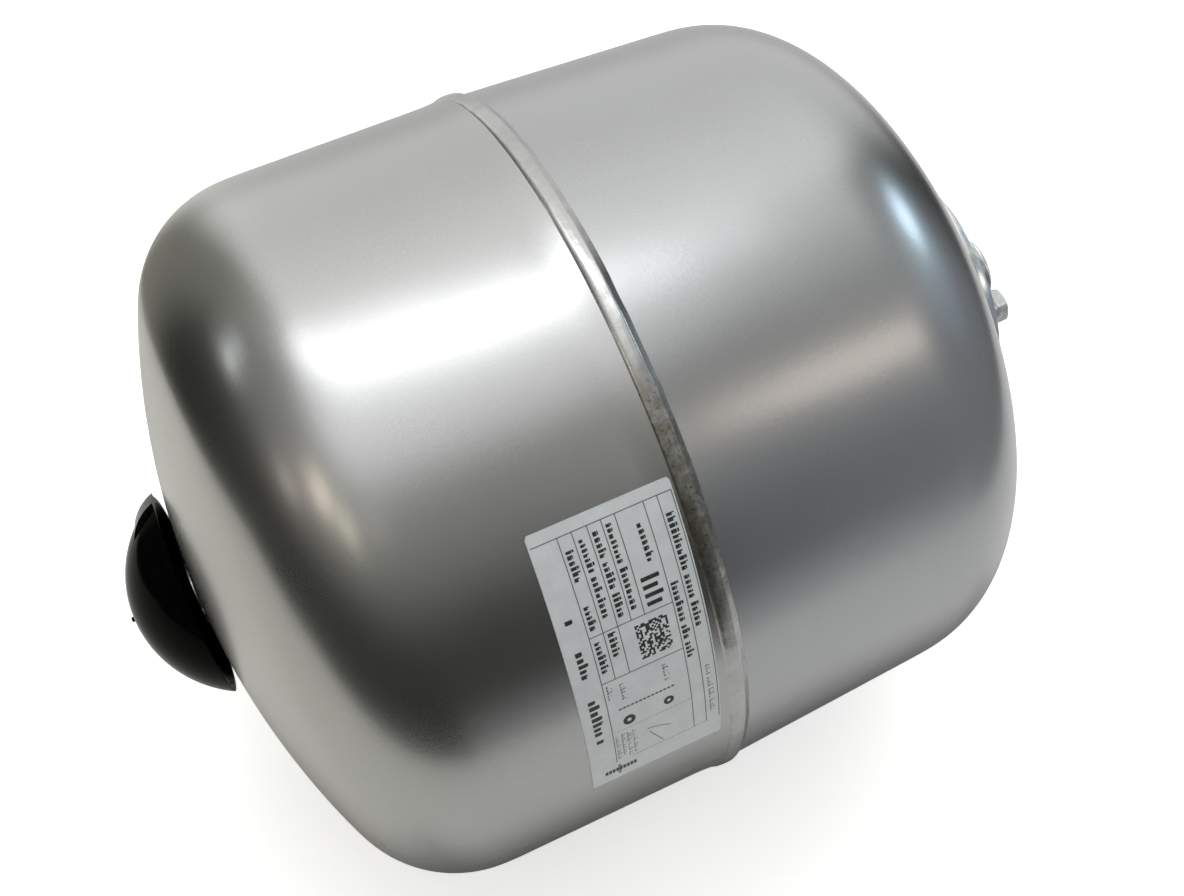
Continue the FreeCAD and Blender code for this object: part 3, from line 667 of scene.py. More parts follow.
def bolt_drills(radius, low, high):
    """Cylinders that cut the bolt holes through a ring of a given height."""
    rod = turned_mesh("drill", water_end, [(low - 1, 0), (low - 1, radius), (high + 1, radius),
                                           (high + 1, 0)], 40)
    return [placed(rod, 0.0, y, z) for angle, y, z in bolt_places()]


def collar_weld():
    """Painted fillet weld between the collar's edge and the crown."""
    side = 44.02
    leg = 4.5
    low = from_crown("neck_collar", 0)
    ground = WATER_DISH.length

    def on_crown(radius):
        return WATER_DISH.crown_height(radius) - ground

    top = [(low + 3.0, side)]
    steps = 10
    for number in range(1, steps):
        share = number / steps
        radius = side + leg * share
        line = low + 3.0 + (on_crown(side + leg) - low - 3.0) * share
        top.append((line + 0.35 * math.sin(math.pi * share), radius))
    under = [(on_crown(side + leg) - 0.05, side + leg), (on_crown(side) - 0.05, side)]

    def shape(x, radius, angle):
        share = (radius - side) / leg
        body = math.sin(math.pi * min(1.0, max(0.0, share))) ** 0.5 if 0 < share < 1 else 0.0
        lift = 0.16 * lump(x, radius, angle, 4.0, 11.0)
        lift += 0.06 * math.sin(angle * side / 0.4 + 2.0 * share)
        spread = 0.25 * ripple(angle, 12.0, 30) * share if x > -6 else 0.0
        return x + body * lift, radius + spread

    return turned("collar_weld", water_end, top + under, WELD_PAINT, ["neck_weld"],
                  segments=600, shape=shape, sharp=60)


def end_plate():
    """Zinc-plated plate that closes the opening, with eased edges and four bolt holes."""
    low, high = (from_crown("cover_plate", corner) for corner in (0, 1))
    radius = 45.0
    bore = 13.27
    outline = eased([(low, bore, 0.2), (low, radius, 0.25), (high, radius, 0.8), (high, bore, 0.2)])
    plate = turned_mesh("plate", water_end, outline, 256)
    plate = cut(plate, bolt_drills(3.3, low, high))
    return finish_mesh("end_plate", plate, ZINC, "vessel", ["cover_plate"], 35)


def threaded_outline(crest, root, pitch, x, angle, start, stop):
    """Radius of a helical thread at a place, run out at both of its ends."""
    turn = (x - pitch * angle / math.tau) / pitch
    share = turn - math.floor(turn)
    wave = abs(2 * share - 1)
    wave = min(1.0, max(0.0, wave * 1.25 - 0.12))
    depth = (crest - root) * (1 - wave)
    fade = min(1.0, max(0.0, (x - start) / pitch), 1.0)
    fade = min(fade, max(0.0, (stop - x) / (0.7 * pitch)))
    return crest - depth * fade


def threaded(station, before, after, crest, root, pitch, start, stop, segments):
    """Turned mesh whose outline goes before, along a helical thread, then after."""
    rows = int((stop - start) / (pitch / 14.0))
    rod = [(start + (stop - start) * number / rows, crest) for number in range(rows + 1)]
    outline = before + rod + after

    def shape(x, radius, angle):
        if radius == crest and start <= x <= stop:
            return x, threaded_outline(crest, root, pitch, x, angle, start, stop)
        return x, radius

    return turned_mesh("threaded", station, outline, segments, shape)


def nipple():
    """Connection nipple with a G 3/4 male thread, a plain neck and a turned end face."""
    low = from_crown("connection_nipple", 0)
    high = from_crown("connection_nipple", 1)
    plate_top = from_crown("cover_plate", 1)
    crest = 13.22
    root = 12.06
    neck = 12.0
    bore = 9.5
    chamfer = 1.4
    start = high - chamfer - 15.0
    before = [(low, bore), (low, crest), (plate_top, crest), (plate_top, neck), (start - 0.02, neck)]
    after = eased([(high, crest - chamfer, 0.3), (high, bore, 0.5)])
    mesh = threaded(water_end, before, after, crest, root, THREAD_PITCH, start, high - chamfer, 160)
    return finish_mesh("nipple", mesh, ZINC, "vessel", ["connection_nipple"], 40)


def nipple_fillet():
    """Small weld round the nipple on the plate, plated over."""
    foot = from_crown("nipple_weld", 0)
    side = 12.02
    leg = 3.0
    steps = 8
    outline = [(foot, side)]
    for number in range(steps + 1):
        share = number / steps
        bulge = 0.3 * math.sin(math.pi * share)
        outline.append((foot + leg * share + bulge, side + leg * (1 - share) + bulge))

    def shape(x, radius, angle):
        rise = x - foot
        if rise < 0.05 or radius - side < 0.05:
            return x, radius
        lift = 0.12 * lump(x, radius, angle, 2.6, 14.0) + 0.05 * math.sin(angle * 34)
        return x + lift, radius + lift

    return turned("nipple_fillet", water_end, outline, ZINC, ["nipple_weld"],
                  segments=320, shape=shape, sharp=60)


def washers():
    """A plain washer with eased edges under each bolt head."""
    low, high = (from_crown("cover_washers", corner) for corner in (0, 1))
    outline = eased([(low, 3.2, 0.1), (low, 6.0, 0.15), (high, 6.0, 0.45), (high, 3.2, 0.2)])
    ring = turned_mesh("washer", water_end, outline, 64)
    rings = [placed(ring, angle, y, z) for angle, y, z in bolt_places()]
    return finish_mesh("plate_washers", merged("washers", rings), BOLT_STEEL, "vessel",
                       ["cover_washers"], 35)


def hexagon_mesh(station, flats, low, high):
    """A plain hexagonal prism on the axis, with one corner pair along Y... turned 30 degrees."""
    corner = flats / math.sqrt(3.0)
    vertices = []
    for x in (low, high):
        for number in range(6):
            vertices.append(station.point(x, corner, math.radians(60 * number + 30)))
    faces = [tuple(range(6)), tuple(range(6, 12))]
    for number in range(6):
        beyond = (number + 1) % 6
        faces.append((number, beyond, 6 + beyond, 6 + number))
    mesh = mesh_from("hexagon", vertices, faces)
    tidy = bmesh.new()
    tidy.from_mesh(mesh)
    bmesh.ops.recalc_face_normals(tidy, faces=tidy.faces)
    tidy.to_mesh(mesh)
    tidy.free()
    return mesh


def chamfered_hexagon(station, flats, low, high, both):
    """A hexagon whose corners are turned off at 30 degrees, as on a real nut or bolt."""
    corner = flats / math.sqrt(3.0)
    turned_off = flats / 2 * 0.96
    drop = (corner + 0.3 - turned_off) * math.tan(math.radians(30))
    outline = [(low - 1 if not both else low, 0.0)]
    if both:
        outline += [(low, turned_off), (low + drop, corner + 0.3)]
    else:
        outline += [(low - 1, corner + 0.3)]
    outline += [(high - drop, corner + 0.3), (high, turned_off), (high, 0.0)]
    cone = turned_mesh("cone", station, outline, 96)
    for mesh in (cone,):
        tidy = bmesh.new()
        tidy.from_mesh(mesh)
        bmesh.ops.recalc_face_normals(tidy, faces=tidy.faces)
        tidy.to_mesh(mesh)
        tidy.free()
    return cut(hexagon_mesh(station, flats, low, high), [cone], "INTERSECT")


def bolts():
    """M6 hexagon bolts: chamfered heads on threaded shanks."""
    seat = from_crown("cover_washers", 1)
    tip = from_crown("cover_bolts", 0)
    top = from_crown("cover_bolts", 1)
    head = chamfered_hexagon(water_end, BOLT_FLATS, seat, top, False)
    crest = 3.0
    shank = threaded(water_end, [(tip, 0.0), (tip, 2.4), (tip + 0.5, 2.9)],
                     [(seat - 0.3, 3.0), (seat + 0.4, 3.0), (seat + 0.4, 0.0)],
                     crest, 2.42, 1.0, tip + 0.6, seat - 0.5, 48)
    bolt = merged("bolt", [head, shank])
    turns = (0.2, 1.3, 2.5, 0.7)
    copies = [placed(bolt, angle + turn, y, z) for (angle, y, z), turn in zip(bolt_places(), turns)]
    return finish_mesh("plate_bolts", merged("bolts", copies), BOLT_STEEL, "vessel",
                       ["cover_bolts"], 30)


def rubber_bag():
    """The bag: a soft closed form with a clamped lip, a neck and faint folds."""
    lip_low = from_crown("neck_collar", 1)
    lip_high = from_crown("cover_plate", 0)
    wall = 1.8
    neck = 26.0
    radius = 98.0
    shoulder = 40.0
    front = -12.0
    back = -192.0

    def skin(inset):
        line = [(front - inset, neck - inset), (front - inset, radius - shoulder)]
        line += arc((front - shoulder, radius - shoulder), shoulder - inset, 0, 90, 24)
        line += arc((back + shoulder, radius - shoulder), shoulder - inset, 90, 180, 24)
        line += [(back + inset, 0.0)]
        return flowing(line, 3.0, 2.5)

    outer = [(lip_high, 33.0), (lip_low, 33.0), (lip_low, neck), (front + 2.0, neck)] + skin(0.0)[2:]
    inner = skin(wall)[2:-1] + [(back + wall, 0.0)]
    outline = outer[:-1] + [(back, 0.0)] + inner[::-1]
    outline += [(front + 2.0, neck - wall), (lip_high - 0.3, neck - wall), (lip_high, neck - wall + 0.3)]

    def shape(x, radius, angle):
        loose = min(1.0, max(0.0, (radius - 34.0) / 40.0)) if x < front else 0.0
        fold = 0.9 * ripple(angle, 20.0, 7) + 0.5 * lump(x, radius, angle, 38.0, 21.0)
        return x, radius + loose * fold

    return turned("rubber_bag", water_end, outline, BAG_RUBBER, ["bladder"],
                  segments=256, shape=shape, sharp=50)


# ---------------------------------------------------------------- air end

def valve_stem():
    """Brass stem: foot inside the shell, shank, and a spout with a fine thread."""
    foot_top = above_air_crown("valve_gasket", 1)
    foot_low = above_air_crown("valve_stem", 1)
    mouth = above_air_crown("valve_stem", 0)
    seat = above_air_crown("valve_core_barrel", 1)
    bore = 2.45
    passage = 1.7
    shank = 5.0
    shank_top = 7.6
    spout = 3.85
    start = shank_top + 2.0
    stop = mouth - 0.5
    before = [(foot_low, passage), (foot_low, 8.6), (foot_low + 0.4, 9.0), (foot_top - 0.2, 9.0),
              (foot_top, 8.8), (foot_top, shank), (shank_top, shank), (shank_top + 0.6, spout - 0.1),
              (start - 0.2, spout - 0.1)]
    after = [(mouth - 0.1, spout - 0.35), (mouth, spout - 0.5), (mouth, bore + 0.25),
             (mouth - 0.25, bore), (seat, bore), (seat - 0.8, passage)]
    mesh = threaded(air_end, before, after, spout, spout - 0.42, SPOUT_PITCH, start, stop, 96)
    return finish_mesh("valve_spout", mesh, BRASS, "vessel", ["valve_stem"], 35)


def valve_washer():
    low, high = (above_air_crown("valve_washer", corner) for corner in (1, 0))
    outline = eased([(low, 5.2, 0.1), (low, 8.4, 0.2), (high, 8.4, 0.4), (high, 5.2, 0.2)])
    return turned("stem_washer", air_end, outline, BOLT_STEEL, ["valve_washer"],
                  segments=96)


def valve_nut():
    """Hexagon nut, chamfered on both faces, on the stem's shank."""
    low, high = (above_air_crown("valve_nut", corner) for corner in (1, 0))
    nut = chamfered_hexagon(air_end, 15.0, low, high, True)
    rod = turned_mesh("rod", air_end, [(low - 1, 0), (low - 1, 5.05), (high + 1, 5.05),
                                       (high + 1, 0)], 64)
    nut.transform(Matrix.Rotation(math.radians(30), 4, "X"))
    return finish_mesh("stem_nut", cut(nut, [rod]), BRASS, "vessel",
                       ["valve_nut"], 30)


def core_spring():
    """Coil spring of the valve core; the real one shortens as the pin is pressed, this one is drawn at one
    fixed length.
    """
    low, high = (above_air_crown("valve_core_spring", corner) for corner in (1, 0))
    wire = 0.16
    coil = 1.2
    turns = 6
    around = 10
    steps = 32 * turns
    vertices = []
    for step in range(steps + 1):
        angle = math.tau * turns * step / steps
        middle = low + wire + (high - low - 2 * wire) * step / steps
        for number in range(around):
            lean = math.tau * number / around
            vertices.append(air_end.point(middle + wire * math.sin(lean),
                                          coil + wire * math.cos(lean), angle))
    faces = [tuple(range(around)), tuple(range(steps * around, (steps + 1) * around))]
    for step in range(steps):
        for number in range(around):
            here, there = step * around + number, step * around + (number + 1) % around
            faces.append((here, there, there + around, here + around))
    spring = finish_mesh("coil_spring", mesh_from("coil", vertices, faces), SPRING_STEEL,
                         "vessel", ["valve_core_spring"], 50)
    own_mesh(spring)
    return spring


def dust_cap():
    """Knurled screw cap with an eased top and a shallow ring moulded round its skirt."""
    low = above_air_crown("dust_cap", 1)
    top = above_air_crown("dust_cap", 0)
    roof = above_air_crown("dust_cap_seal", 0) + 0.02
    radius = 5.2
    bore = 3.9
    knurls = 18
    rim = low + 1.3
    outline = [(low, bore), (low, radius - 0.2), (low + 0.2, radius)]
    outline += [(rim + 0.1 * step, radius) for step in range(8)]
    outline += [(top - 2.0 + 0.2 * step, radius) for step in range(6)]
    outline += arc((top - 0.8, radius - 0.8), 0.8, 90, 0, 6)[1:]
    outline += [(top, radius * 0.55), (top - 0.25, radius * 0.5), (top - 0.25, 0.0), (roof, 0.0)]
    outline += [(roof, bore)]

    def shape(x, distance, angle):
        if distance < radius - 0.05 or x < rim:
            return x, distance
        rise = min(1.0, (x - rim) / 0.5, max(0.0, (top - 0.5 - x) / 0.7))
        groove = 0.5 - 0.5 * math.cos(knurls * angle)
        return x, distance - 0.36 * max(0.0, rise) * groove ** 0.7

    return turned("valve_dust_cap", air_end, outline, CAP_PLASTIC, ["dust_cap"],
                  body="dust_cap", segments=216, shape=shape)


def dome_cover():
    """Glossy push-on dome with a finger tab, a mould gate mark and a gripping hub."""
    rim = 1.1
    radius = 32.0
    height = 18.7
    wall = 1.6
    sphere = (radius ** 2 + height ** 2) / (2 * height)
    centre = rim + height - sphere
    edge = math.degrees(math.atan2(radius, rim - centre))
    inner = sphere - wall
    hub_inner = 15.0 / math.sqrt(3.0) + 0.05
    hub_outer = hub_inner + 1.7
    hub_foot = above_air_crown("valve_cover", 1)
    inner_edge = math.degrees(math.acos((rim - centre) / inner))

    def inside(at_radius):
        return math.degrees(math.asin(at_radius / inner))

    gate = 0.9
    gate_edge = math.degrees(math.asin(gate / sphere))
    apex = rim + height
    outline = arc((centre, 0.0), sphere, edge, gate_edge, 90)
    outline = [(rim, radius - 0.35), (rim + 0.1, radius - 0.08)] + outline[1:]
    outline += [(apex + 0.85, 0.75), (apex + 1.0, 0.5), (apex + 0.92, 0.0)]
    outline += [(centre + inner, 0.0)]
    outline += arc((centre, 0.0), inner, 2.0, inside(hub_inner), 6)
    outline += eased([(hub_foot, hub_inner, 0.3), (hub_foot, hub_outer, 0.3)])
    outline += arc((centre, 0.0), inner, inside(hub_outer), inner_edge, 30)

    tab_middle = math.radians(45.0)
    tab_half = 7.0
    tab_height = 9.4
    tab_round = 14.7
    tab_edge = radius + 0.5
    foot = Vector((rim, tab_edge))
    head = Vector((rim + tab_height, math.sqrt((sphere - 1.2) ** 2 - (rim + tab_height - centre) ** 2)))
    chord = head - foot
    sagitta = math.sqrt(tab_round ** 2 - (chord.length / 2) ** 2)
    hinge = (foot + head) / 2 + Vector((chord.y, -chord.x)).normalized() * sagitta

    def shape(x, distance, angle):
        """Lift the dome's outer skin to the tab's profile inside the tab's width."""
        if distance < 12.0 or x > head.x or math.hypot(x - centre, distance) < sphere - 0.6:
            return x, distance
        turn = (angle - tab_middle + math.pi) % math.tau - math.pi
        if abs(turn) > 1.0:
            return x, distance
        reach = math.sqrt(max(0.0, tab_round ** 2 - (x - hinge.x) ** 2)) + hinge.y
        reach /= math.cos(turn)
        across = abs(math.sin(turn)) * max(distance, reach)
        if across > tab_half:
            return x, distance
        blend = min(1.0, (tab_half - across) / 0.5)
        blend = blend * blend * (3 - 2 * blend)
        return x, max(distance, distance + (reach - distance) * blend)

    return turned("dome_cover", air_end, outline, COVER_PLASTIC, ["valve_cover"],
                  body="cover", segments=720, shape=shape, sharp=40)


# ---------------------------------------------------------------- rating label

class Label:
    """Places points on the label: across from its outer edge, down from its top, in mm."""

    def __init__(self):
        self.width = LABEL_WIDTH
        self.height = math.radians(LABEL_SWEEP) * SEAM_RADIUS

    def point(self, across, down, lift):
        distance = LABEL_OFFSET + self.width - across + LABEL_TILT * down
        angle = math.radians(LABEL_START) + down / SEAM_RADIUS
        ripples = 0.025 * noise.noise(Vector((across, down, 0.0)) / 9.0)
        return toward_air.point(distance, flare_radius(distance) + 0.08 + ripples + lift, angle)


LABEL = Label()


def sheet_faces(columns, rows):
    """Faces of a closed sheet whose top and bottom grids follow one another."""
    faces = []
    size = columns * rows
    for row in range(rows - 1):
        for column in range(columns - 1):
            corner = row * columns + column
            quad = (corner, corner + 1, corner + columns + 1, corner + columns)
            faces.append(quad)
            faces.append(tuple(size + number for number in reversed(quad)))
    rim = [column for column in range(columns)]
    rim += [row * columns + columns - 1 for row in range(1, rows)]
    rim += [(rows - 1) * columns + column for column in range(columns - 2, -1, -1)]
    rim += [row * columns for row in range(rows - 2, 0, -1)]
    for here, there in zip(rim, rim[1:] + rim[:1]):
        faces.append((here, there, size + there, size + here))
    return faces


def label_sheet():
    """The label's stock: a thin curved sheet with rounded corners."""
    columns, rows = 49, 97
    corner = 0.6
    vertices = []
    for lift in (LABEL_THICKNESS, 0.0):
        for row in range(rows):
            down = LABEL.height * row / (rows - 1)
            near_end = min(down, LABEL.height - down)
            inset = 0.0
            if near_end < corner:
                inset = corner - math.sqrt(corner ** 2 - (corner - near_end) ** 2)
            for column in range(columns):
                across = inset + (LABEL.width - 2 * inset) * column / (columns - 1)
                vertices.append(LABEL.point(across, down, lift))
    mesh = mesh_from("label", vertices, sheet_faces(columns, rows))
    return finish_mesh("label_sheet", mesh, LABEL_PAPER, "vessel",
                       ["rating_label"], 40)


class Print:
    """Gathers patches of ink as thin closed solids on the label."""

    def __init__(self, seed):
        self.vertices = []
        self.faces = []
        self.random = random.Random(seed)

    def patch(self, across, down, width, height):
        """A rectangle of ink, curved with the label."""
        rows = max(2, int(height / 2.5) + 2)
        columns = max(2, int(width / 3.0) + 2)
        first = len(self.vertices)
        for lift in (LABEL_THICKNESS + 0.02, LABEL_THICKNESS - 0.02):
            for row in range(rows):
                for column in range(columns):
                    place = (across + width * column / (columns - 1), down + height * row / (rows - 1))
                    self.vertices.append(LABEL.point(*place, lift))
        for face in sheet_faces(columns, rows):
            self.faces.append(tuple(first + number for number in face))

    def line(self, across, start, stop, size, weight=0.5, gap=0.3):
        """Greeked text that runs down the label: blocks in word groups, no letters."""
        down = start
        word = 0
        while down < stop - 0.3 * size:
            advance = size * self.random.uniform(0.45, 0.7)
            tall = size * self.random.choice((0.68, 0.7, 1.0))
            low = across - size / 2
            self.patch(low, down, tall * weight * 0.9, advance * 0.8)
            if self.random.random() < 0.75:
                self.patch(low + tall * (1 - 0.3 * weight), down, tall * 0.3 * weight, advance * 0.7)
            if self.random.random() < 0.6:
                self.patch(low, down, tall, advance * 0.32)
            word += 1
            down += advance + size * 0.12
            if word > 3 and self.random.random() < gap:
                down += size * 0.45
                word = 0

    def disc(self, across, down, radius, hole):
        """A printed ring, or a dot when hole is 0."""
        steps = 28
        first = len(self.vertices)
        inner = max(hole, radius * 0.02)
        for lift in (LABEL_THICKNESS + 0.02, LABEL_THICKNESS - 0.02):
            for distance in (radius, inner):
                for number in range(steps):
                    angle = math.tau * number / steps
                    place = (across + distance * math.cos(angle), down + distance * math.sin(angle))
                    self.vertices.append(LABEL.point(*place, lift))
        for number in range(steps):
            beyond = (number + 1) % steps
            loops = [first + steps * ring for ring in (0, 1, 3, 2)]
            for here, there in zip(loops, loops[1:] + loops[:1]):
                self.faces.append((here + number, here + beyond, there + beyond, there + number))

    def finish(self, name, material):
        mesh = mesh_from(name, self.vertices, self.faces)
        return finish_mesh(name, mesh, material, "vessel", (), 40)


def label_rules():
    """The ruled boxes of the label: one line under the header, columns, and cross lines."""
    rules = Print(1)
    thin = 0.26
    columns = (7.3, 11.1, 15.1, 18.8, 22.5, 30.2, 33.9, 37.7)
    head, foot = 3.2, 77.5
    middle, lower = 31.0, 45.6
    rules.patch(0.5, head, LABEL.width - 1.0, thin)
    for number, across in enumerate(columns):
        last = foot if number in (0, 5, 6, 7) else middle
        if number == 1:
            last = lower
        rules.patch(across, head, thin, last - head)
    rules.patch(15.1, middle, thin, lower - middle)
    rules.patch(columns[0], middle, columns[5] - columns[0], thin)
    rules.patch(columns[0], lower, columns[5] - columns[0], thin)
    for number in range(24):
        rules.patch(columns[0] + 5.0 + 0.95 * number, foot, 0.6, 0.22)
    return rules.finish("label_rules", LABEL_GREY)


def label_print():
    """Bold and small greeked text, with a speckled code block and two ring marks."""
    ink = Print(7)
    bold, small = 2.9, 2.1
    left = 4.2
    ink.line(left, 24.0, 26.6, bold, 0.95)
    ink.line(left, 33.5, 43.0, bold - 0.3, 0.9, 0.0)
    ink.line(left, 49.5, 66.5, bold, 0.95, 0.2)
    for across, start, stop in ((9.3, 7.4, 15.5), (9.3, 22.5, 29.5), (9.3, 33.0, 44.0),
                                (13.2, 6.0, 28.0), (13.2, 32.0, 40.0), (17.0, 5.5, 30.0),
                                (20.7, 5.0, 30.0), (28.0, 8.0, 19.5), (32.0, 26.0, 43.0),
                                (32.0, 44.5, 50.0), (35.8, 8.5, 42.0)):
        ink.line(across, start, stop, small, 0.78)
    for number in range(4):
        ink.patch(23.9, 21.5 + 2.3 * number, 5.0 - 0.9 * (number % 2), 1.15)
    cell = 0.55
    for row in range(19):
        for column in range(16):
            if ink.random.random() < 0.5:
                ink.patch(19.2 + cell * column, 33.2 + cell * row, cell, cell)
    for number in range(14):
        ink.patch(10.3 + 1.15 * number, 56.2, 0.85, 0.5)
    ink.disc(12.6, 61.5, 1.75, 0.6)
    ink.disc(24.0, 61.0, 1.45, 0.5)
    ink.line(8.2, 79.2, 84.0, 1.2, 0.9, 0.0)
    for number in range(9):
        ink.patch(3.8 + 1.05 * number, 80.4, 0.85, 1.7)
    return ink.finish("label_print", LABEL_INK)


def label_small_print():
    """Pale text, a thin pressure curve and its dotted axis, in the lower cells."""
    pale = Print(11)
    small = 1.5
    for across, start, stop in ((9.0, 47.0, 52.5), (12.6, 48.0, 54.0), (24.6, 48.0, 54.0),
                                (36.0, 54.5, 74.0)):
        pale.line(across, start, stop, small, 0.35)
    for across in (8.6, 10.2, 11.8, 13.4):
        pale.line(across, 66.0, 76.5, 1.2, 0.35)
    for number in range(26):
        pale.patch(8.0 + 0.85 * number, 64.3, 0.5, 0.15)
    for number in range(12):
        pale.patch(17.0 + 0.55 * number, 68.5 + 0.05 * number ** 1.6, 0.55, 0.3)
        pale.patch(17.5 + 0.3 * number, 70.0 + 0.55 * number, 0.3, 0.55)
    return pale.finish("label_small_print", LABEL_GREY)


# ---------------------------------------------------------------- nodes kept from the CAD

def paint_kept_nodes():
    """Give each CAD node that stays visible its material."""
    kept = {
        "valve_gasket": SEAL_RUBBER,
        "valve_core_barrel": BRASS,
        "valve_core_seal": SEAL_RUBBER,
        "valve_core_pin": BRASS,
        "valve_core_cup": SEAL_RUBBER,
        "dust_cap_seal": SEAL_RUBBER,
    }
    for name, material in kept.items():
        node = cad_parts[name]
        node.data.materials.clear()
        node.data.materials.append(material)


# ---------------------------------------------------------------- stage, light and camera

def plane(name, low, high, level):
    """A level rectangle between two corners, given in metres."""
    corners = [(low[0], low[1], level), (high[0], low[1], level), (high[0], high[1], level),
               (low[0], high[1], level)]
    mesh = mesh_from(name, corners, [(0, 1, 2, 3)])
    piece = bpy.data.objects.new(name, mesh)
    bpy.context.scene.collection.objects.link(piece)
    piece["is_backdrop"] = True
    return piece


def paper(name, glow, with_painted_shadow):
    """Matt white paper that gives off a little light; if asked, it is warmer towards -X and has a painted
    shadow under the vessel.
    """
    shader = Shader(name)
    mottle = shader.noise(60.0, 2.0)
    shade = shader.mix(mottle, (0.86, 0.86, 0.86), (0.88, 0.88, 0.88))
    if with_painted_shadow:
        split = shader.node("ShaderNodeSeparateXYZ")
        shader.link(shader.place, split.inputs[0])
        warm = shader.span(split.outputs["X"], -0.6, 0.0, 1.0, 0.0)
        shade = shader.mix(warm, shade, (0.9, 0.877, 0.81))
        # Painted shadow: the paper is painted dark grey close under the vessel and lighter further out.
        beside = shader.math("ABSOLUTE", split.outputs["Y"])
        shadow = shader.span(beside, 0.1, 0.21)
        beyond = shader.math("ABSOLUTE", shader.math("ADD", split.outputs["X"], 0.14))
        shadow = shader.math("MAXIMUM", shadow, shader.span(beyond, 0.1, 0.21))
        shade = shader.mix(shadow, (0.2, 0.2, 0.2), shade)
    seen = shader.node("ShaderNodeLightPath").outputs["Is Diffuse Ray"]
    shader.put(Base_Color=shade, Roughness=0.9, Specular_IOR_Level=0.1,
               Emission_Color=(1.0, 1.0, 1.0, 1.0),
               Emission_Strength=shader.math("MULTIPLY", shader.math("SUBTRACT", 1.0, seen), glow))
    return shader.material


def floor():
    """A wide pale floor, and the sheet of paper on it, with a painted shadow under the vessel, that the shiny
    parts reflect.
    """
    level = cad_box[0].z - 0.0006
    ground = plane("floor", (-3.0, -3.0), (3.0, 3.0), level)
    ground.data.materials.append(paper("floor_paper", 0.55, False))
    ground.visible_glossy = False
    sheet = plane("sheet", (-1.9, -0.6), (0.3, 0.25), level + 0.0002)
    sheet.data.materials.append(paper("sheet_paper", 0.02, True))
    for kind in ("camera", "diffuse", "transmission", "shadow"):
        setattr(sheet, "visible_" + kind, False)


def heading(azimuth, elevation):
    """Unit vector at an azimuth round from +X toward +Y and an elevation, in degrees."""
    turn, lift = math.radians(azimuth), math.radians(elevation)
    return math.cos(turn) * math.cos(lift), math.sin(turn) * math.cos(lift), math.sin(lift)


class Room:
    """World light as a sum of soft shapes: gradients, walls and lamps."""

    def __init__(self):
        world = bpy.data.worlds.new("room")
        world.use_nodes = True
        bpy.context.scene.world = world
        self.tree = world.node_tree
        self.direction = self.tree.nodes.new("ShaderNodeTexCoord").outputs["Generated"]
        split = self.tree.nodes.new("ShaderNodeSeparateXYZ")
        self.tree.links.new(self.direction, split.inputs[0])
        self.height = split.outputs["Z"]
        flat = self.vector("MULTIPLY", self.direction, (1.0, 1.0, 0.0))
        self.flat = self.vector("NORMALIZE", flat)
        self.total = None

    def vector(self, operation, first, second=None, output="Vector"):
        item = self.tree.nodes.new("ShaderNodeVectorMath")
        item.operation = operation
        self.tree.links.new(first, item.inputs[0])
        if isinstance(second, tuple):
            item.inputs[1].default_value = second
        elif second is not None:
            self.tree.links.new(second, item.inputs[1])
        return item.outputs[output]

    def step(self, value, low, high, bottom=0.0, top=1.0):
        item = self.tree.nodes.new("ShaderNodeMapRange")
        item.interpolation_type = "SMOOTHSTEP"
        self.tree.links.new(value, item.inputs["Value"])
        for key, number in zip(("From Min", "From Max", "To Min", "To Max"), (low, high, bottom, top)):
            item.inputs[key].default_value = number
        return item.outputs["Result"]

    def times(self, first, second):
        item = self.tree.nodes.new("ShaderNodeMath")
        item.operation = "MULTIPLY"
        self.tree.links.new(first, item.inputs[0])
        self.tree.links.new(second, item.inputs[1])
        return item.outputs["Value"]

    def add(self, amount, colour):
        """Add a share of a colour to the room."""
        item = self.tree.nodes.new("ShaderNodeVectorMath")
        item.operation = "SCALE"
        item.inputs[0].default_value = colour
        self.tree.links.new(amount, item.inputs["Scale"])
        glow = item.outputs["Vector"]
        self.total = glow if self.total is None else self.vector("ADD", self.total, glow)

    def band(self, low, high, bottom, top, colour):
        """A gradient in elevation, in degrees, from one brightness to another."""
        ends = [math.sin(math.radians(angle)) for angle in (low, high)]
        self.add(self.step(self.height, *ends, bottom, top), colour)

    def wall(self, azimuth, core, reach, low, high, fade, colour):
        """A bright sector between two elevations, soft on all sides."""
        toward = self.vector("DOT_PRODUCT", self.flat, heading(azimuth, 0), "Value")
        sides = self.step(toward, math.cos(math.radians(reach)), math.cos(math.radians(core)))
        floor_edge = self.step(self.height, *(math.sin(math.radians(a)) for a in (low - fade, low + fade)))
        roof_edge = self.step(self.height, *(math.sin(math.radians(a)) for a in (high - fade, high + fade)),
                              1.0, 0.0)
        self.add(self.times(sides, self.times(floor_edge, roof_edge)), colour)

    def lamp(self, azimuth, elevation, core, reach, colour):
        """A round soft lamp in a direction."""
        toward = self.vector("DOT_PRODUCT", self.direction, heading(azimuth, elevation), "Value")
        self.add(self.step(toward, math.cos(math.radians(reach)), math.cos(math.radians(core))), colour)

    def finish(self):
        background = self.tree.nodes["Background"]
        self.tree.links.new(self.total, background.inputs["Color"])


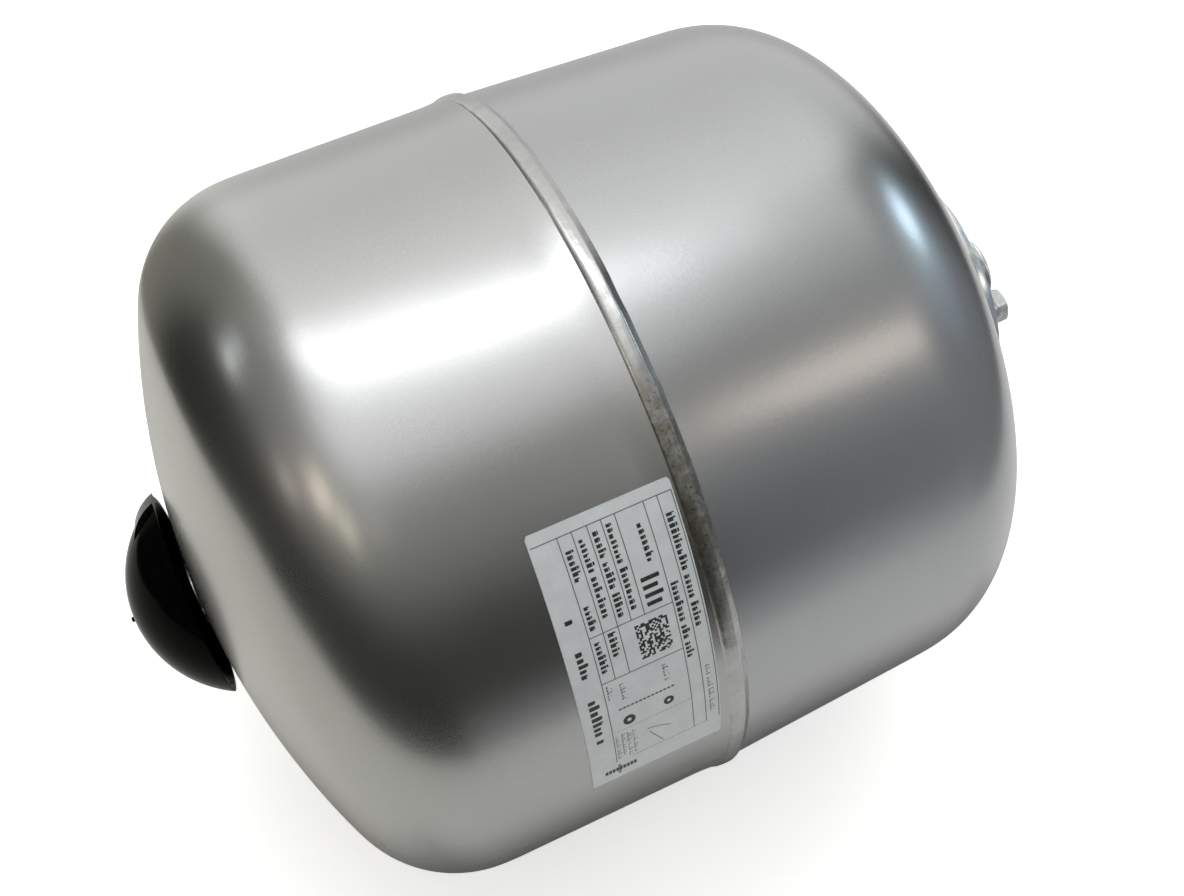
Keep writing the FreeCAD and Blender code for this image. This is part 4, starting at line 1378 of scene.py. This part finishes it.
def room():
    """A dim workshop with a bright wall, a long window overhead and a few lamps."""
    world = Room()
    world.band(-12, 22, 0.02, 0.042, (1.03, 1.0, 0.75))
    world.band(18, 64, 0.0, 0.34, (1.0, 1.0, 0.95))
    world.band(60, 88, 0.0, 0.47, (1.0, 1.0, 1.0))
    world.wall(-30, 28, 52, -22, 50, 12, (0.27, 0.28, 0.3))
    world.wall(-72, 8, 26, -60, -6, 6, (0.3, 0.3, 0.3))
    world.wall(64, 28, 44, -10, 62, 9, (1.03, 1.03, 1.0))
    world.wall(66, 24, 40, -70, -10, 9, (0.62, 0.62, 0.61))
    world.wall(108, 8, 26, -70, 62, 12, (0.25, 0.245, 0.21))
    for azimuth, elevation, power in ((26, 71, 1.3), (46, 73, 1.5), (62, 73, 1.3), (78, 71, 1.3),
                                      (93, 66, 1.5), (104, 63, 1.4)):
        world.lamp(azimuth, elevation, 3.5, 10.0, (power, power, power))
    world.lamp(30, 82, 8.0, 32.0, (0.68, 0.68, 0.68))
    world.lamp(4, 29, 3.0, 9.0, (3.0, 3.9, 4.5))
    world.lamp(-6, 25, 8.0, 24.0, (0.15, 0.22, 0.26))
    world.lamp(-50, 42, 2.5, 7.5, (2.3, 1.95, 1.65))
    world.lamp(-160, 55, 3.0, 7.5, (3.2, 2.7, 2.2))
    world.lamp(-134, 54, 2.5, 6.5, (2.1, 2.0, 1.5))
    world.lamp(-104, 59, 3.0, 6.5, (0.5, 0.45, 0.4))
    world.lamp(-179, 39, 2.0, 6.0, (1.6, 1.4, 1.2))
    world.lamp(140, 27, 2.0, 5.0, (3.0, 3.1, 2.9))
    world.lamp(134, 33, 2.0, 4.5, (1.6, 1.7, 1.7))
    world.finish()


def softbox(name, azimuth, elevation, width, height, power, colour):
    """A rectangular studio light that faces the vessel."""
    data = bpy.data.lights.new(name, "AREA")
    data.shape = "RECTANGLE"
    data.size = width
    data.size_y = height
    data.energy = power
    data.color = colour
    lamp = bpy.data.objects.new(name, data)
    bpy.context.scene.collection.objects.link(lamp)
    middle = (cad_box[0] + cad_box[1]) / 2
    away = Vector(heading(azimuth, elevation))
    lamp.location = middle + away * 2.6
    lamp.rotation_euler = away.to_track_quat("Z", "Y").to_euler()
    lamp.visible_glossy = False
    return lamp


def camera():
    """Camera above and to the left of the water end, looking down on the label's side."""
    azimuth = math.radians(-25.87)
    drop = math.radians(60.39)
    distance = 0.43233
    ahead = Vector((-math.sin(azimuth) * math.cos(drop), math.cos(azimuth) * math.cos(drop),
                    -math.sin(drop)))
    right = ahead.cross(Vector((0, 0, 1))).normalized()
    up = right.cross(ahead)
    target = Vector((SEAM_X, 0, 0)) + right * 0.01049 - up * 0.00212
    data = bpy.data.cameras.new("camera")
    data.sensor_width = 36.0
    data.lens = 40.75
    data.clip_start = 0.01
    eye = bpy.data.objects.new("camera", data)
    turn = Matrix((right, up, -ahead)).transposed().to_4x4()
    eye.matrix_world = Matrix.Translation(target - ahead * distance) @ turn
    bpy.context.scene.collection.objects.link(eye)
    bpy.context.scene.camera = eye


def write_sizes():
    """Gather the CAD's box and the visual model's box side by side; nothing keeps them."""
    boxes = {"cad": cad_box, "visual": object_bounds()}
    {name: [list(corner) for corner in box] for name, box in boxes.items()}


# ---------------------------------------------------------------- build

for build in (air_shell, water_shell, seam_weld, neck_collar, collar_weld, end_plate, nipple,
              nipple_fillet, washers, bolts, rubber_bag, valve_stem, valve_washer, valve_nut,
              core_spring, dust_cap, dome_cover, label_sheet, label_rules, label_print,
              label_small_print, paint_kept_nodes, floor, room, camera):
    build()
softbox("key", 70, 62, 1.2, 0.8, 6.0, (1.0, 1.0, 1.0))
bpy.context.scene.view_settings.view_transform = "Standard"
write_sizes()
